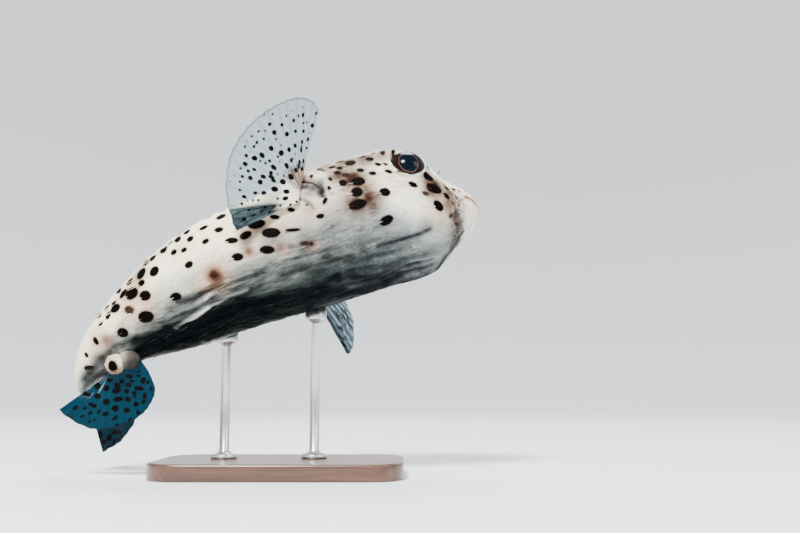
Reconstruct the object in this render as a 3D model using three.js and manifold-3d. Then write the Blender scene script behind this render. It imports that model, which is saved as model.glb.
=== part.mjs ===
// Spot-fin porcupinefish (Diodon hystrix), adult and not inflated, as a still, life-size model
// on a plain display stand. Millimetres, +Z up. The origin is the middle of the stand's foot.
//
// The fish is built in a frame of its own, X towards the snout, Y towards its left side and Z
// towards its back, and that frame is then turned and lifted onto the stand. Its skin is one
// function of two numbers: the distance s behind the tip of the snout, along the body's centre
// line, and the angle round the body (0 left side, 90 back, 180 right side, 270 belly).

import * as THREE from 'three';
import { mergeVertices } from 'three/addons/utils/BufferGeometryUtils.js';
import Module from 'manifold-3d';

const wasm = await Module();
wasm.setup();

const { clamp, degToRad, lerp, smoothstep } = THREE.MathUtils;

// ---- driving dimensions

const GAP = 0.3;              // between two pieces that meet
const HALF_GAP = GAP / 2;

// The fish on its stand: how it is turned, and where the middle of its centre line hangs.
const YAW = 14;
const PITCH = 23;
const BANK = 28;
const FISH_PLACE = new THREE.Vector3(-8, -8, 175);

// The centre line, level in the fish's frame: the head turns a little to the fish's left, and
// the tail curls round to the same side.
const BODY_LENGTH = 400;
const MIDDLE = 180;
const HEAD_TURN = 5;
const HEAD_TURN_END = 120;
const TAIL_TURN = 100;
const TAIL_TURN_START = 115;
const TAIL_TURN_POWER = 3.6;
const TAIL_ROLL = 15;         // the tail is wrung a little, belly towards the right side,
const TAIL_ROLL_START = 250;
const TAIL_ROLL_END = 340;
const ROOT_ROLL = 25;         // and its root by this much more

// The body's sections: distance from the snout, half width, height above and depth below the
// centre, and how high the centre is.
const SECTIONS = [
  [0, 6.5, 4, 4, -21],
  [3, 14.5, 10, 11, -18.5],
  [10, 22.5, 16.5, 18.5, -17],
  [22, 30.5, 23.5, 27.5, -14],
  [34, 42, 36, 42, -6],
  [46, 49, 45.5, 52, -2],
  [64, 55, 52, 57, 1],
  [92, 56.5, 53.5, 56.5, 3.5],
  [130, 55, 53, 56, 5],
  [175, 51.5, 48.5, 50.5, 4],
  [220, 48.5, 45.5, 45.5, 5],
  [265, 41, 39, 39, 2],
  [305, 29, 28, 28, -1],
  [340, 19, 20, 20, -0.5],
  [372, 11, 14, 14, 1.5],
  [400, 6, 13, 13, 3.5],
];
const HALF_WIDTH = 1;
const ABOVE = 2;
const BELOW = 3;
const LEVEL = 4;
const SECTION_POWER = 2.3;    // a little squarer than an ellipse, which is 2

const HEAD_END = 119;         // just in front of the gill openings
const TRUNK_END = 246;
const TAIL_END = 352;
const ROUND_STEPS = 40;
const RING_STEP = 9.5;

// Lips: their back edge slants from the top of the snout down to the chin.
const LIP_BACK = 22;
const LIP_SLANT = 8;
const LIP_SWELL = 1.0;
const LIP_RINGS = 5;
const MOUTH_LEVEL = -20.5;
const MOUTH_LINE = 0.5;

// Eyes
const EYE_AT = { s: 56, angle: 168 };
const EYE_RADIUS = 17;
const EYE_STAND = 1.7;        // how far the ball stands above the orbit's dome
const ORBIT_RISE = 6;
const ORBIT_SPREAD = 17;
const ORBIT_UP = 0.39;        // the dome faces out and this much up
const LID_RADIUS = 13.4;
const LID_THICK = 1.7;
const EYE_STEPS = { round: 18, down: 11 };
const LID_STEPS = { round: 22, section: 5 };

// Nostrils: a short two-lipped tentacle on each side of the snout
const NOSTRIL_AT = { s: 27, angle: 149 };
const NOSTRIL_HEIGHT = 5.5;
const NOSTRIL_RADIUS = 1.6;
const NOSTRIL_TIP = 1.3;
const NOSTRIL_SINK = 2;
const NOSTRIL_PIT = { radius: 0.9, foot: 0.45, depth: 2.5, steps: 8 };
const NOSTRIL_STEPS = 10;

// Gill openings: a crescent hollow in front of each pectoral fin
const GILL_AT = { s: 132, angle: 166 };
const GILL_HALF = new THREE.Vector3(9, 4.5, 13);
const GILL_OUT = 1.5;
const GILL_STEPS = { round: 14, down: 9 };

// Fins. Each is a fan of rays: fraction along the root, the ray's angle in the fan's plane,
// measured from its back direction towards its up direction, and the ray's length.
const MEMBRANE_HALF = 0.3;
const RAY_RIDGE = 0.35;
const PECTORAL_RAYS = 16;
const PECTORAL_FAN = [
  [0, 104, 52],
  [0.1, 97, 61],
  [0.2, 87, 64.5],
  [0.32, 74, 63.5],
  [0.45, 57.5, 62],
  [0.58, 40, 61],
  [0.7, 26, 60],
  [0.82, 12, 57.5],
  [0.9, -7, 54.5],
  [1, -25, 52],
];
const PECTORAL_ROOT = { s: [134, 156], angle: [145, 178], out: 2.5 };
const PECTORAL_FOOT = { length: 19, height: 11, thickness: 3.4, reach: 0.05 };
const PECTORAL_BEND = -6;
const RIGHT_PECTORAL = { back: [-0.93, -0.31, 0.21], up: [0.36, -0.55, 0.75], reach: 1 };
const LEFT_PECTORAL = { back: [0.386, 0.578, -0.719], up: [0.287, 0.666, 0.689], reach: 1.4 };
const FIN_ROWS = 5;
const FOOT_STEPS = { round: 12, down: 7 };
const TAIL_SIDE_RAYS = 14;
const TAIL_SIDE_FAN = [
  [0, 89, 12],
  [0.12, 87, 27],
  [0.28, 77, 36],
  [0.45, 66, 42],
  [0.62, 51, 45],
  [0.8, 29, 50],
  [1, -6, 53],
];
const TAIL_SIDE_ROOT = 32;
const TAIL_SIDE_FOOT = { length: 19, height: 12, thickness: 7, reach: 0.02 };
const DORSAL_AT = 292;
const DORSAL_FLAP = 62;
const DORSAL_RAISE = 38;
const ANAL_AT = 306;
const ANAL_FLAP = 38;
const ANAL_RAISE = 3;
const CAUDAL_RAYS = 9;
const CAUDAL_FAN = [
  [0, 25, 61],
  [0.25, 13, 68],
  [0.5, 0, 71],
  [0.75, -13, 68],
  [1, -25, 61],
];
const CAUDAL_ROOT = { half: 11, thickness: 3, off: 0.6 };
const CAUDAL_SWING = 7;       // the tail fin carries the curl, droop and roll of the tail on
const CAUDAL_DROOP = 6.4;
const CAUDAL_ROLL = 13;
const CAUDAL_BEND = 3;

// Spines: three-sided thorns that lie back along the skin, in staggered rings
const SPINE_FIRST_RING = 32;
const SPINE_RING_STEP = 18;
const SPINE_SPACING = 21;     // round a ring
const SPINE_LENGTH = 12;
const SPINE_RADIUS = 1.3;
const SPINE_SINK = 1.5;
const SPINE_RISE = 2.4;       // of the tip from the skin
const SPINE_MARGIN = 1;       // from the tip to the end of its piece
const SPINE_SHAKE = 0.12;     // of the spacing and the length
const SPINE_SIDES = 3;
const SPINE_KNEE = 0.6;       // its height and radius half way, as a share of the whole
const BELLY = [238, 302];     // between these angles every other spine is left out, the rest low
const BELLY_RISE = 1.4;

// Stand
const BASE_SIZE = new THREE.Vector3(200, 116, 13);
const BASE_CORNER = 26;
const BASE_BEVEL = 2;
const ROD_RADIUS = 4;
const RODS = {
  stand_rod_front: { x: 26, y: 8, top: 138 },
  stand_rod_back: { x: -48, y: 6, top: 119 },
};
const ROD_STEPS = 14;
const ROD_FLANGE = { radius: 11, height: 3 };
const ROD_CUP = { radius: 9, height: 14, rise: 5 };

// ---- small helpers

const rad = degToRad;
const seededRandom = (seed) => {
  let state = seed;
  return () => {
    state = (Math.imul(state, 1664525) + 1013904223) >>> 0;
    return state / 2 ** 32;
  };
};
const vec = (x, y, z) => new THREE.Vector3(x, y, z);

// The smooth value of one column of a table at x.
function along(table, column, x) {
  const last = table.length - 1;
  const slope = (i) => {
    const a = table[Math.max(i - 1, 0)];
    const b = table[Math.min(i + 1, last)];
    return (b[column] - a[column]) / (b[0] - a[0]);
  };
  let i = 0;
  while (i < last - 1 && x >= table[i + 1][0]) i += 1;
  const step = table[i + 1][0] - table[i][0];
  const t = clamp((x - table[i][0]) / step, 0, 1);
  const t2 = t * t;
  const t3 = t2 * t;
  return (2 * t3 - 3 * t2 + 1) * table[i][column] + (t3 - 2 * t2 + t) * step * slope(i)
    + (3 * t2 - 2 * t3) * table[i + 1][column] + (t3 - t2) * step * slope(i + 1);
}

// ---- the fish's frame, turned and lifted onto the stand

const fish = new THREE.Group();
fish.position.copy(FISH_PLACE);
fish.quaternion.setFromRotationMatrix(
  new THREE.Matrix4().makeRotationZ(rad(YAW))
    .multiply(new THREE.Matrix4().makeRotationY(-rad(PITCH)))
    .multiply(new THREE.Matrix4().makeRotationX(-rad(BANK))),
);
fish.updateMatrix();

// ---- the centre line

function turnAt(s) {
  const head = HEAD_TURN * Math.max(0, 1 - s / HEAD_TURN_END);
  const tail = clamp((s - TAIL_TURN_START) / (BODY_LENGTH - TAIL_TURN_START), 0, 1);
  return rad(TAIL_TURN * tail ** TAIL_TURN_POWER - head);
}

function rollAt(s) {
  return rad(TAIL_ROLL) * smoothstep(s, TAIL_ROLL_START, TAIL_ROLL_END)
    + rad(ROOT_ROLL) * smoothstep(s, TAIL_ROLL_END, BODY_LENGTH);
}

const LINE = [[0, 0, 0]];
for (let s = 1; s <= BODY_LENGTH + 1; s += 1) {
  const turn = turnAt(s - 0.5);
  const before = LINE[s - 1];
  LINE.push([s, before[1] - Math.cos(turn), before[2] + Math.sin(turn)]);
}

function centreAt(s) {
  const i = clamp(Math.floor(s), 0, BODY_LENGTH);
  const t = s - i;
  const x = lerp(LINE[i][1], LINE[i + 1][1], t) - LINE[MIDDLE][1];
  const y = lerp(LINE[i][2], LINE[i + 1][2], t) - LINE[MIDDLE][2];
  return vec(x, y, along(SECTIONS, LEVEL, s));
}

// The directions at s: back along the line, and the rolled left and up of its section.
function axesAt(s) {
  const turn = turnAt(s);
  const roll = rollAt(s);
  const back = vec(-Math.cos(turn), Math.sin(turn), 0);
  const flatLeft = vec(Math.sin(turn), Math.cos(turn), 0);
  const flatUp = vec(0, 0, 1);
  const left = flatLeft.clone().multiplyScalar(Math.cos(roll)).addScaledVector(flatUp, -Math.sin(roll));
  const up = flatUp.clone().multiplyScalar(Math.cos(roll)).addScaledVector(flatLeft, Math.sin(roll));
  return { back, left, up };
}

// ---- the skin

const softPower = (value) => Math.sign(value) * Math.abs(value) ** (2 / SECTION_POWER);

function plainSkin(s, angle) {
  const { left, up } = axesAt(s);
  const across = Math.cos(rad(angle));
  const upward = Math.sin(rad(angle));
  const height = along(SECTIONS, upward >= 0 ? ABOVE : BELOW, s);
  return centreAt(s)
    .addScaledVector(left, along(SECTIONS, HALF_WIDTH, s) * softPower(across))
    .addScaledVector(up, height * softPower(upward));
}

const mirrored = (angle) => 180 - angle;

// The two orbits: where each dome's top lies before it is raised, and which way it rises.
const ORBITS = [EYE_AT.angle, mirrored(EYE_AT.angle)].map((angle) => {
  const side = Math.cos(rad(angle)) > 0 ? 1 : -1;
  const out = axesAt(EYE_AT.s).left.multiplyScalar(side * Math.sqrt(1 - ORBIT_UP ** 2));
  out.z += ORBIT_UP;
  return { angle, out, foot: plainSkin(EYE_AT.s, angle) };
});

function raisedSkin(s, angle) {
  const point = plainSkin(s, angle);
  for (const orbit of ORBITS) {
    const reach = point.distanceTo(orbit.foot) / ORBIT_SPREAD;
    point.addScaledVector(orbit.out, ORBIT_RISE * Math.exp(-(reach ** 2)));
  }
  return point;
}

const NORMAL_STEP = 0.5;
const NORMAL_ANGLE = 1;

function skinNormal(s, angle) {
  const at = clamp(s, NORMAL_STEP, BODY_LENGTH - NORMAL_STEP);
  const lengthways = raisedSkin(at + NORMAL_STEP, angle).sub(raisedSkin(at - NORMAL_STEP, angle));
  const around = raisedSkin(at, angle + NORMAL_ANGLE).sub(raisedSkin(at, angle - NORMAL_ANGLE));
  return lengthways.cross(around).normalize();
}

// A point of the skin, or one at a distance out from it.
function skin(s, angle, out = 0) {
  const point = raisedSkin(s, angle);
  if (out !== 0) point.addScaledVector(skinNormal(s, angle), out);
  return point;
}

// ---- solids

// A closed geometry over equal rings of points, with a fan over each end ring.
function ringGeometry(rings) {
  const count = rings[0].length;
  const points = rings.flat();
  const faces = [];
  for (let i = 0; i < rings.length - 1; i += 1) {
    for (let j = 0; j < count; j += 1) {
      const a = i * count + j;
      const b = i * count + ((j + 1) % count);
      faces.push(a, b, b + count, a, b + count, a + count);
    }
  }
  for (const [ring, first, turn] of [[rings[0], 0, true], [rings.at(-1), points.length - count, false]]) {
    const middle = ring.reduce((sum, p) => sum.add(p), vec(0, 0, 0)).divideScalar(count);
    const hub = points.push(middle) - 1;
    for (let j = 0; j < count; j += 1) {
      const a = first + j;
      const b = first + ((j + 1) % count);
      if (turn) faces.push(hub, b, a);
      else faces.push(hub, a, b);
    }
  }
  const geometry = new THREE.BufferGeometry().setFromPoints(points);
  geometry.setIndex(faces);
  return outwards(geometry);
}

// The same geometry with its faces turned to point out of the solid.
function outwards(geometry) {
  const position = geometry.attributes.position;
  const index = geometry.index.array;
  const corner = [vec(0, 0, 0), vec(0, 0, 0), vec(0, 0, 0)];
  let volume = 0;
  for (let i = 0; i < index.length; i += 3) {
    corner.forEach((p, k) => p.fromBufferAttribute(position, index[i + k]));
    volume += corner[0].dot(corner[1].clone().cross(corner[2]));
  }
  if (volume < 0) {
    for (let i = 0; i < index.length; i += 3) {
      [index[i + 1], index[i + 2]] = [index[i + 2], index[i + 1]];
    }
  }
  return geometry;
}

function toSolid(geometry) {
  const bare = new THREE.BufferGeometry();
  bare.setAttribute('position', geometry.attributes.position);
  bare.setIndex(geometry.index);
  const merged = mergeVertices(bare);
  return new wasm.Manifold(new wasm.Mesh({
    numProp: 3,
    vertProperties: new Float32Array(merged.attributes.position.array),
    triVerts: new Uint32Array(merged.index.array),
  }));
}

function toGeometry(solid) {
  const mesh = solid.getMesh();
  const geometry = new THREE.BufferGeometry();
  geometry.setAttribute('position', new THREE.BufferAttribute(new Float32Array(mesh.vertProperties), 3));
  geometry.setIndex(new THREE.BufferAttribute(new Uint32Array(mesh.triVerts), 1));
  geometry.computeVertexNormals();
  return geometry;
}

function largest(solid) {
  return solid.decompose().reduce((a, b) => (a.volume() >= b.volume() ? a : b));
}

// A geometry turned so that its Y lies along one direction and its X near another, and moved.
function placed(geometry, place, yAxis, xHint) {
  const y = yAxis.clone().normalize();
  const x = xHint.clone().addScaledVector(y, -xHint.dot(y)).normalize();
  const matrix = new THREE.Matrix4().makeBasis(x, y, x.clone().cross(y)).setPosition(place);
  return geometry.applyMatrix4(matrix);
}

// ---- the body's lengths

// The closed shell between two edges, each a function of the angle, raised by a function of the
// fraction of its length.
function bodyGeometry(from, to, steps, raise = () => 0) {
  const rings = [];
  for (let i = 0; i <= steps; i += 1) {
    const t = i / steps;
    const ring = [];
    for (let j = 0; j < ROUND_STEPS; j += 1) {
      const angle = (j * 360) / ROUND_STEPS;
      ring.push(skin(lerp(from(angle), to(angle), t), angle, raise(t)));
    }
    rings.push(ring);
  }
  return ringGeometry(rings);
}

// A straight-cut length of the body, or with a distance out a form to cut its neighbours with.
function bodyLength(from, to, out = 0) {
  const steps = Math.round((to - from) / RING_STEP);
  return bodyGeometry(() => from, () => to, steps, () => out);
}

const lipEdge = (angle) => LIP_BACK - LIP_SLANT * Math.sin(rad(angle));

// ---- fins

// A fan's point: u runs from the first ray to the last, v from the root to the free edge.
function fanPoint(fin, u, v) {
  const angle = rad(along(fin.fan, 1, u));
  const length = along(fin.fan, 2, u) * fin.reach;
  const [back, up, out] = fin.axes;
  return fin.root(u)
    .addScaledVector(back, Math.cos(angle) * length * v)
    .addScaledVector(up, Math.sin(angle) * length * v)
    .addScaledVector(out, fin.bend * v * v);
}

// The closed membrane, split alike on both faces, with each ray raised as a ridge on both.
function fanGeometry(fin) {
  const columns = fin.rays * 2;
  const rows = FIN_ROWS;
  const sheet = (columns + 1) * (rows + 1);
  const points = [];
  for (const side of [1, -1]) {
    for (let i = 0; i <= columns; i += 1) {
      for (let j = 0; j <= rows; j += 1) {
        const v = j / rows;
        const ridge = i % 2 === 1 ? RAY_RIDGE * (1 - v / 2) : 0;
        const half = lerp(fin.rootHalf, MEMBRANE_HALF, Math.sqrt(v)) + ridge;
        points.push(fanPoint(fin, i / columns, v).addScaledVector(fin.axes[2], side * half));
      }
    }
  }
  const faces = [];
  const at = (i, j, side) => side * sheet + i * (rows + 1) + j;
  const quad = (a, b, c, d) => faces.push(a, b, c, a, c, d);
  for (let i = 0; i < columns; i += 1) {
    for (let j = 0; j < rows; j += 1) {
      quad(at(i, j, 0), at(i + 1, j, 0), at(i + 1, j + 1, 0), at(i, j + 1, 0));
      faces.push(at(i, j, 1), at(i + 1, j + 1, 1), at(i + 1, j, 1));
      faces.push(at(i, j, 1), at(i, j + 1, 1), at(i + 1, j + 1, 1));
    }
    quad(at(i, 0, 0), at(i, 0, 1), at(i + 1, 0, 1), at(i + 1, 0, 0));
    quad(at(i, rows, 0), at(i + 1, rows, 0), at(i + 1, rows, 1), at(i, rows, 1));
  }
  for (let j = 0; j < rows; j += 1) {
    quad(at(0, j, 0), at(0, j + 1, 0), at(0, j + 1, 1), at(0, j, 1));
    quad(at(columns, j, 0), at(columns, j, 1), at(columns, j + 1, 1), at(columns, j + 1, 0));
  }
  const geometry = new THREE.BufferGeometry().setFromPoints(points);
  geometry.setIndex(faces);
  return outwards(geometry);
}

// The directions of a fan's plane from two directions in it: back, up and square to both.
function fanAxes(back, up) {
  const x = back.clone().normalize();
  const y = up.clone().addScaledVector(x, -up.dot(x)).normalize();
  return [x, y, x.clone().cross(y)];
}

// A fin grown from a fleshy foot and cut clear of the body.
function finSolid(fin, body) {
  const foot = new THREE.SphereGeometry(1, FOOT_STEPS.round, FOOT_STEPS.down);
  foot.scale(fin.foot.length, fin.foot.height, fin.foot.thickness);
  const place = fanPoint(fin, 0.5, fin.foot.reach);
  const outward = fanPoint(fin, 0.5, 1).sub(fin.root(0.5));
  const whole = toSolid(fanGeometry(fin))
    .add(toSolid(placed(foot, place, outward, fin.root(1).sub(fin.root(0)))));
  return largest(whole.subtract(body));
}

// Pectoral fins. The right one is spread up and out and a little cupped, the left one is
// stretched and strokes down and out.
function pectoral({ back, up, reach }, toSide) {
  return {
    fan: PECTORAL_FAN,
    reach,
    rays: PECTORAL_RAYS,
    axes: fanAxes(vec(...back), vec(...up)),
    root: (u) => skin(
      lerp(PECTORAL_ROOT.s[0], PECTORAL_ROOT.s[1], u),
      toSide(lerp(PECTORAL_ROOT.angle[0], PECTORAL_ROOT.angle[1], u)),
      PECTORAL_ROOT.out,
    ),
    bend: PECTORAL_BEND,
    rootHalf: 1,
    foot: PECTORAL_FOOT,
  };
}

// The dorsal and anal fins, alike, on the back and the belly of the tail
function tailSide(first, angle, flap, raise) {
  const { back, left, up } = axesAt(first + TAIL_SIDE_ROOT / 2);
  const away = up.multiplyScalar(Math.sign(Math.sin(rad(angle))) * Math.cos(rad(flap)))
    .addScaledVector(left, Math.sin(rad(flap)));
  const swept = back.clone().multiplyScalar(Math.cos(rad(raise)))
    .addScaledVector(away, Math.sin(rad(raise)));
  return {
    fan: TAIL_SIDE_FAN,
    reach: 1,
    rays: TAIL_SIDE_RAYS,
    axes: fanAxes(swept, away),
    root: (u) => skin(first + TAIL_SIDE_ROOT * u, angle, TAIL_SIDE_FOOT.height / 2),
    bend: 0,
    rootHalf: 1,
    foot: TAIL_SIDE_FOOT,
  };
}

function caudal() {
  const { back, left, up } = axesAt(BODY_LENGTH);
  const middle = centreAt(BODY_LENGTH).addScaledVector(back, CAUDAL_ROOT.off);
  const trailing = back.clone()
    .applyAxisAngle(up, rad(-CAUDAL_SWING))
    .addScaledVector(up, -Math.tan(rad(CAUDAL_DROOP)));
  const tall = up.clone().addScaledVector(left, Math.tan(rad(CAUDAL_ROLL)));
  return {
    fan: CAUDAL_FAN,
    reach: 1,
    rays: CAUDAL_RAYS,
    axes: fanAxes(trailing, tall),
    root: (u) => middle.clone().addScaledVector(up, lerp(CAUDAL_ROOT.half, -CAUDAL_ROOT.half, u)),
    bend: CAUDAL_BEND,
    rootHalf: CAUDAL_ROOT.thickness,
  };
}

// ---- head parts

// One eye: its ball, the socket that clears it and the ring of its lids.
function eyeParts(orbit) {
  const top = orbit.foot.clone().addScaledVector(orbit.out, ORBIT_RISE);
  const middle = top.addScaledVector(orbit.out, EYE_STAND - EYE_RADIUS);
  const forward = vec(1, 0, 0);
  const ball = (radius) => {
    const sphere = new THREE.SphereGeometry(radius, EYE_STEPS.round, EYE_STEPS.down);
    return placed(sphere, middle, orbit.out, forward);
  };
  const ring = new THREE.TorusGeometry(LID_RADIUS, LID_THICK, LID_STEPS.section, LID_STEPS.round);
  ring.rotateX(Math.PI / 2);
  const drop = Math.sqrt(EYE_RADIUS ** 2 - LID_RADIUS ** 2);
  const ringPlace = middle.clone().addScaledVector(orbit.out, drop);
  return {
    ball: toSolid(ball(EYE_RADIUS)),
    socket: toSolid(ball(EYE_RADIUS + GAP)),
    lids: toSolid(placed(ring, ringPlace, orbit.out, forward)),
  };
}

// One nostril: a short stalk sunk in the snout, and the pit in its end.
function nostrilParts(angle) {
  const out = skinNormal(NOSTRIL_AT.s, angle);
  const { back } = axesAt(NOSTRIL_AT.s);
  const height = NOSTRIL_HEIGHT + NOSTRIL_SINK;
  const { radius, foot, depth, steps } = NOSTRIL_PIT;
  const stalk = new THREE.CylinderGeometry(NOSTRIL_RADIUS, NOSTRIL_TIP, height, NOSTRIL_STEPS);
  const pit = new THREE.CylinderGeometry(radius, foot, 2 * depth, steps);
  const stalkPlace = skin(NOSTRIL_AT.s, angle, height / 2 - NOSTRIL_SINK);
  const pitPlace = skin(NOSTRIL_AT.s, angle, NOSTRIL_HEIGHT);
  return {
    stalk: toSolid(placed(stalk, stalkPlace, out, back)),
    pit: toSolid(placed(pit, pitPlace, out, back)),
  };
}

// The snout's end, parted by the line of the mouth into two lips
function lipSolids() {
  const swell = (t) => LIP_SWELL * Math.sin(Math.PI * t);
  const snout = bodyGeometry(() => 0, (angle) => lipEdge(angle) - HALF_GAP, LIP_RINGS, swell);
  const line = new THREE.BoxGeometry(BODY_LENGTH, BODY_LENGTH, MOUTH_LINE);
  line.translate(0, 0, MOUTH_LEVEL);
  const [first, second] = toSolid(snout).subtract(toSolid(line)).decompose();
  const firstIsUpper = first.boundingBox().max[2] > second.boundingBox().max[2];
  return firstIsUpper ? [first, second] : [second, first];
}

function gillHollow(angle) {
  const hollow = new THREE.SphereGeometry(1, GILL_STEPS.round, GILL_STEPS.down);
  hollow.scale(GILL_HALF.x, GILL_HALF.y, GILL_HALF.z);
  const place = skin(GILL_AT.s, angle, GILL_OUT);
  return toSolid(placed(hollow, place, skinNormal(GILL_AT.s, angle), axesAt(GILL_AT.s).back));
}

// ---- spines

// Where no spine grows: round the eyes, nostrils, gill openings and the feet of the fins, under
// the right pectoral fin's folded rays, and where the rods' cups hold the body.
const BARE_PLACES = [
  { ...EYE_AT, reach: 24 },
  { ...NOSTRIL_AT, reach: 9 },
  { ...GILL_AT, reach: 18 },
  { s: 140, angle: 162, reach: 26 },
  { s: 176, angle: 178, reach: 24 },
  { s: 202, angle: 184, reach: 20 },
  { s: DORSAL_AT + TAIL_SIDE_ROOT / 2, angle: 90, reach: 26 },
  { s: ANAL_AT + TAIL_SIDE_ROOT / 2, angle: 270, reach: 26 },
].flatMap(({ s, angle, reach }) => [angle, mirrored(angle)].map((a) => ({ at: skin(s, a), reach })));
for (const { x, y, top } of Object.values(RODS)) {
  const at = vec(x, y, top).applyMatrix4(fish.matrix.clone().invert());
  BARE_PLACES.push({ at, reach: ROD_CUP.radius + SPINE_LENGTH });
}

const isBare = (point) => BARE_PLACES.some(({ at, reach }) => at.distanceTo(point) < reach);

// One spine: a thin pyramid from under the skin, bowed so that it follows the body back.
function spineSolid(s, angle, length, rise) {
  const knee = skin(s + length / 2, angle, rise * SPINE_KNEE);
  const root = skin(s, angle, -SPINE_SINK);
  const tip = skin(s + length, angle, rise);
  const out = skinNormal(s, angle);
  const side = tip.clone().sub(root).cross(out).normalize();
  const ring = (place, radius) => Array.from({ length: SPINE_SIDES }, (_, k) => {
    const turn = (k * 2 * Math.PI) / SPINE_SIDES;
    return place.clone()
      .addScaledVector(side, radius * Math.sin(turn))
      .addScaledVector(out, radius * Math.cos(turn));
  });
  return toSolid(spikeGeometry(ring(root, SPINE_RADIUS), ring(knee, SPINE_RADIUS * SPINE_KNEE), tip));
}

// A closed spike: two equal rings of points and a tip.
function spikeGeometry(foot, waist, tip) {
  const count = foot.length;
  const faces = [];
  for (let j = 0; j < count; j += 1) {
    const k = (j + 1) % count;
    faces.push(j, k, count + k, j, count + k, count + j, count + j, count + k, 2 * count);
  }
  for (let j = 1; j < count - 1; j += 1) faces.push(0, j + 1, j);
  const geometry = new THREE.BufferGeometry().setFromPoints([...foot, ...waist, tip]);
  geometry.setIndex(faces);
  return outwards(geometry);
}

// The piece with every spine that has its whole length between from and to.
function withSpines(solid, from, to) {
  let grown = solid;
  for (let ring = 0; ring * SPINE_RING_STEP < BODY_LENGTH; ring += 1) {
    const random = seededRandom(ring + 1);
    const shake = (size) => size * SPINE_SHAKE * (random() - 0.5) * 2;
    const level = SPINE_FIRST_RING + ring * SPINE_RING_STEP;
    const count = Math.round((2 * Math.PI * along(SECTIONS, HALF_WIDTH, level)) / SPINE_SPACING);
    for (let j = 0; j < count; j += 1) {
      const angle = (((j + (ring % 2) / 2) * 360) / count + shake(360 / count)) % 360;
      const s = level + Math.abs(shake(SPINE_RING_STEP));
      const isBelly = angle > BELLY[0] && angle < BELLY[1];
      const length = Math.min(SPINE_LENGTH + shake(SPINE_LENGTH), to - SPINE_MARGIN - s);
      const grows = s > from && s < to - SPINE_LENGTH * (1 - SPINE_SHAKE) && !(isBelly && j % 2);
      if (grows && !isBare(skin(s + length / 2, angle))) {
        grown = grown.add(spineSolid(s, angle, length, isBelly ? BELLY_RISE : SPINE_RISE));
      }
    }
  }
  return largest(grown);
}

// ---- stand

function baseGeometry() {
  const halfLength = BASE_SIZE.x / 2 - BASE_BEVEL;
  const halfDepth = BASE_SIZE.y / 2 - BASE_BEVEL;
  const corner = BASE_CORNER - BASE_BEVEL;
  const outline = new THREE.Shape();
  const corners = [[1, 1], [-1, 1], [-1, -1], [1, -1]];
  corners.forEach(([x, y], i) => {
    const start = (i * Math.PI) / 2;
    outline.absarc(x * (halfLength - corner), y * (halfDepth - corner), corner, start, start + Math.PI / 2);
  });
  return new THREE.ExtrudeGeometry(outline, {
    depth: BASE_SIZE.z - 2 * BASE_BEVEL,
    bevelThickness: BASE_BEVEL,
    bevelSize: BASE_BEVEL,
    bevelSegments: 1,
    curveSegments: 5,
  }).translate(0, 0, BASE_BEVEL);
}

// A rod with a flange at its foot and a cup at its top, which the body is cut out of.
function rodSolid({ x, y, top }, body) {
  const bottom = BASE_SIZE.z + GAP;
  const cupFoot = top - ROD_CUP.height;
  const profile = [
    [0, bottom],
    [ROD_FLANGE.radius, bottom],
    [ROD_FLANGE.radius, bottom + ROD_FLANGE.height],
    [ROD_RADIUS, bottom + ROD_FLANGE.height * 2],
    [ROD_RADIUS, cupFoot],
    [ROD_CUP.radius, cupFoot + ROD_CUP.rise],
    [ROD_CUP.radius, top + ROD_CUP.height],
    [0, top + ROD_CUP.height],
  ];
  const rod = new THREE.LatheGeometry(profile.map(([r, z]) => new THREE.Vector2(r, z)), ROD_STEPS);
  rod.rotateX(Math.PI / 2);
  rod.translate(x, y, 0);
  return largest(toSolid(outwards(rod)).subtract(body));
}

// ---- the model

const finish = (color, roughness, metalness = 0) => ({ color, roughness, metalness });
const SKIN = finish(0xd9cfc0, 0.5);
const LIPS = finish(0xe2d2bf, 0.4);
const EYE = finish(0x14131c, 0.05);
const FIN = finish(0x5f8f97, 0.4);
const WOOD = finish(0x3a2418, 0.35);
const STEEL = finish(0xb8babd, 0.3, 1);

const model = new THREE.Group();
model.add(fish);

function addPiece(group, name, geometry, material) {
  const piece = new THREE.Mesh(geometry, new THREE.MeshStandardMaterial(material));
  piece.name = name;
  group.add(piece);
}

function addHead() {
  const steps = Math.round((HEAD_END - LIP_BACK) / RING_STEP);
  let head = toSolid(bodyGeometry((a) => lipEdge(a) + HALF_GAP, () => HEAD_END - HALF_GAP, steps));
  ['eye_right', 'eye_left'].forEach((name, i) => {
    const eye = eyeParts(ORBITS[i]);
    head = head.add(eye.lids).subtract(eye.socket);
    addPiece(fish, name, toGeometry(eye.ball), EYE);
  });
  for (const angle of [NOSTRIL_AT.angle, mirrored(NOSTRIL_AT.angle)]) {
    const nostril = nostrilParts(angle);
    head = head.add(nostril.stalk).subtract(nostril.pit);
  }
  addPiece(fish, 'head', toGeometry(withSpines(head, LIP_BACK, HEAD_END)), SKIN);
  const [upper, lower] = lipSolids();
  addPiece(fish, 'upper_lip', toGeometry(upper), LIPS);
  addPiece(fish, 'lower_lip', toGeometry(lower), LIPS);
}

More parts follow.
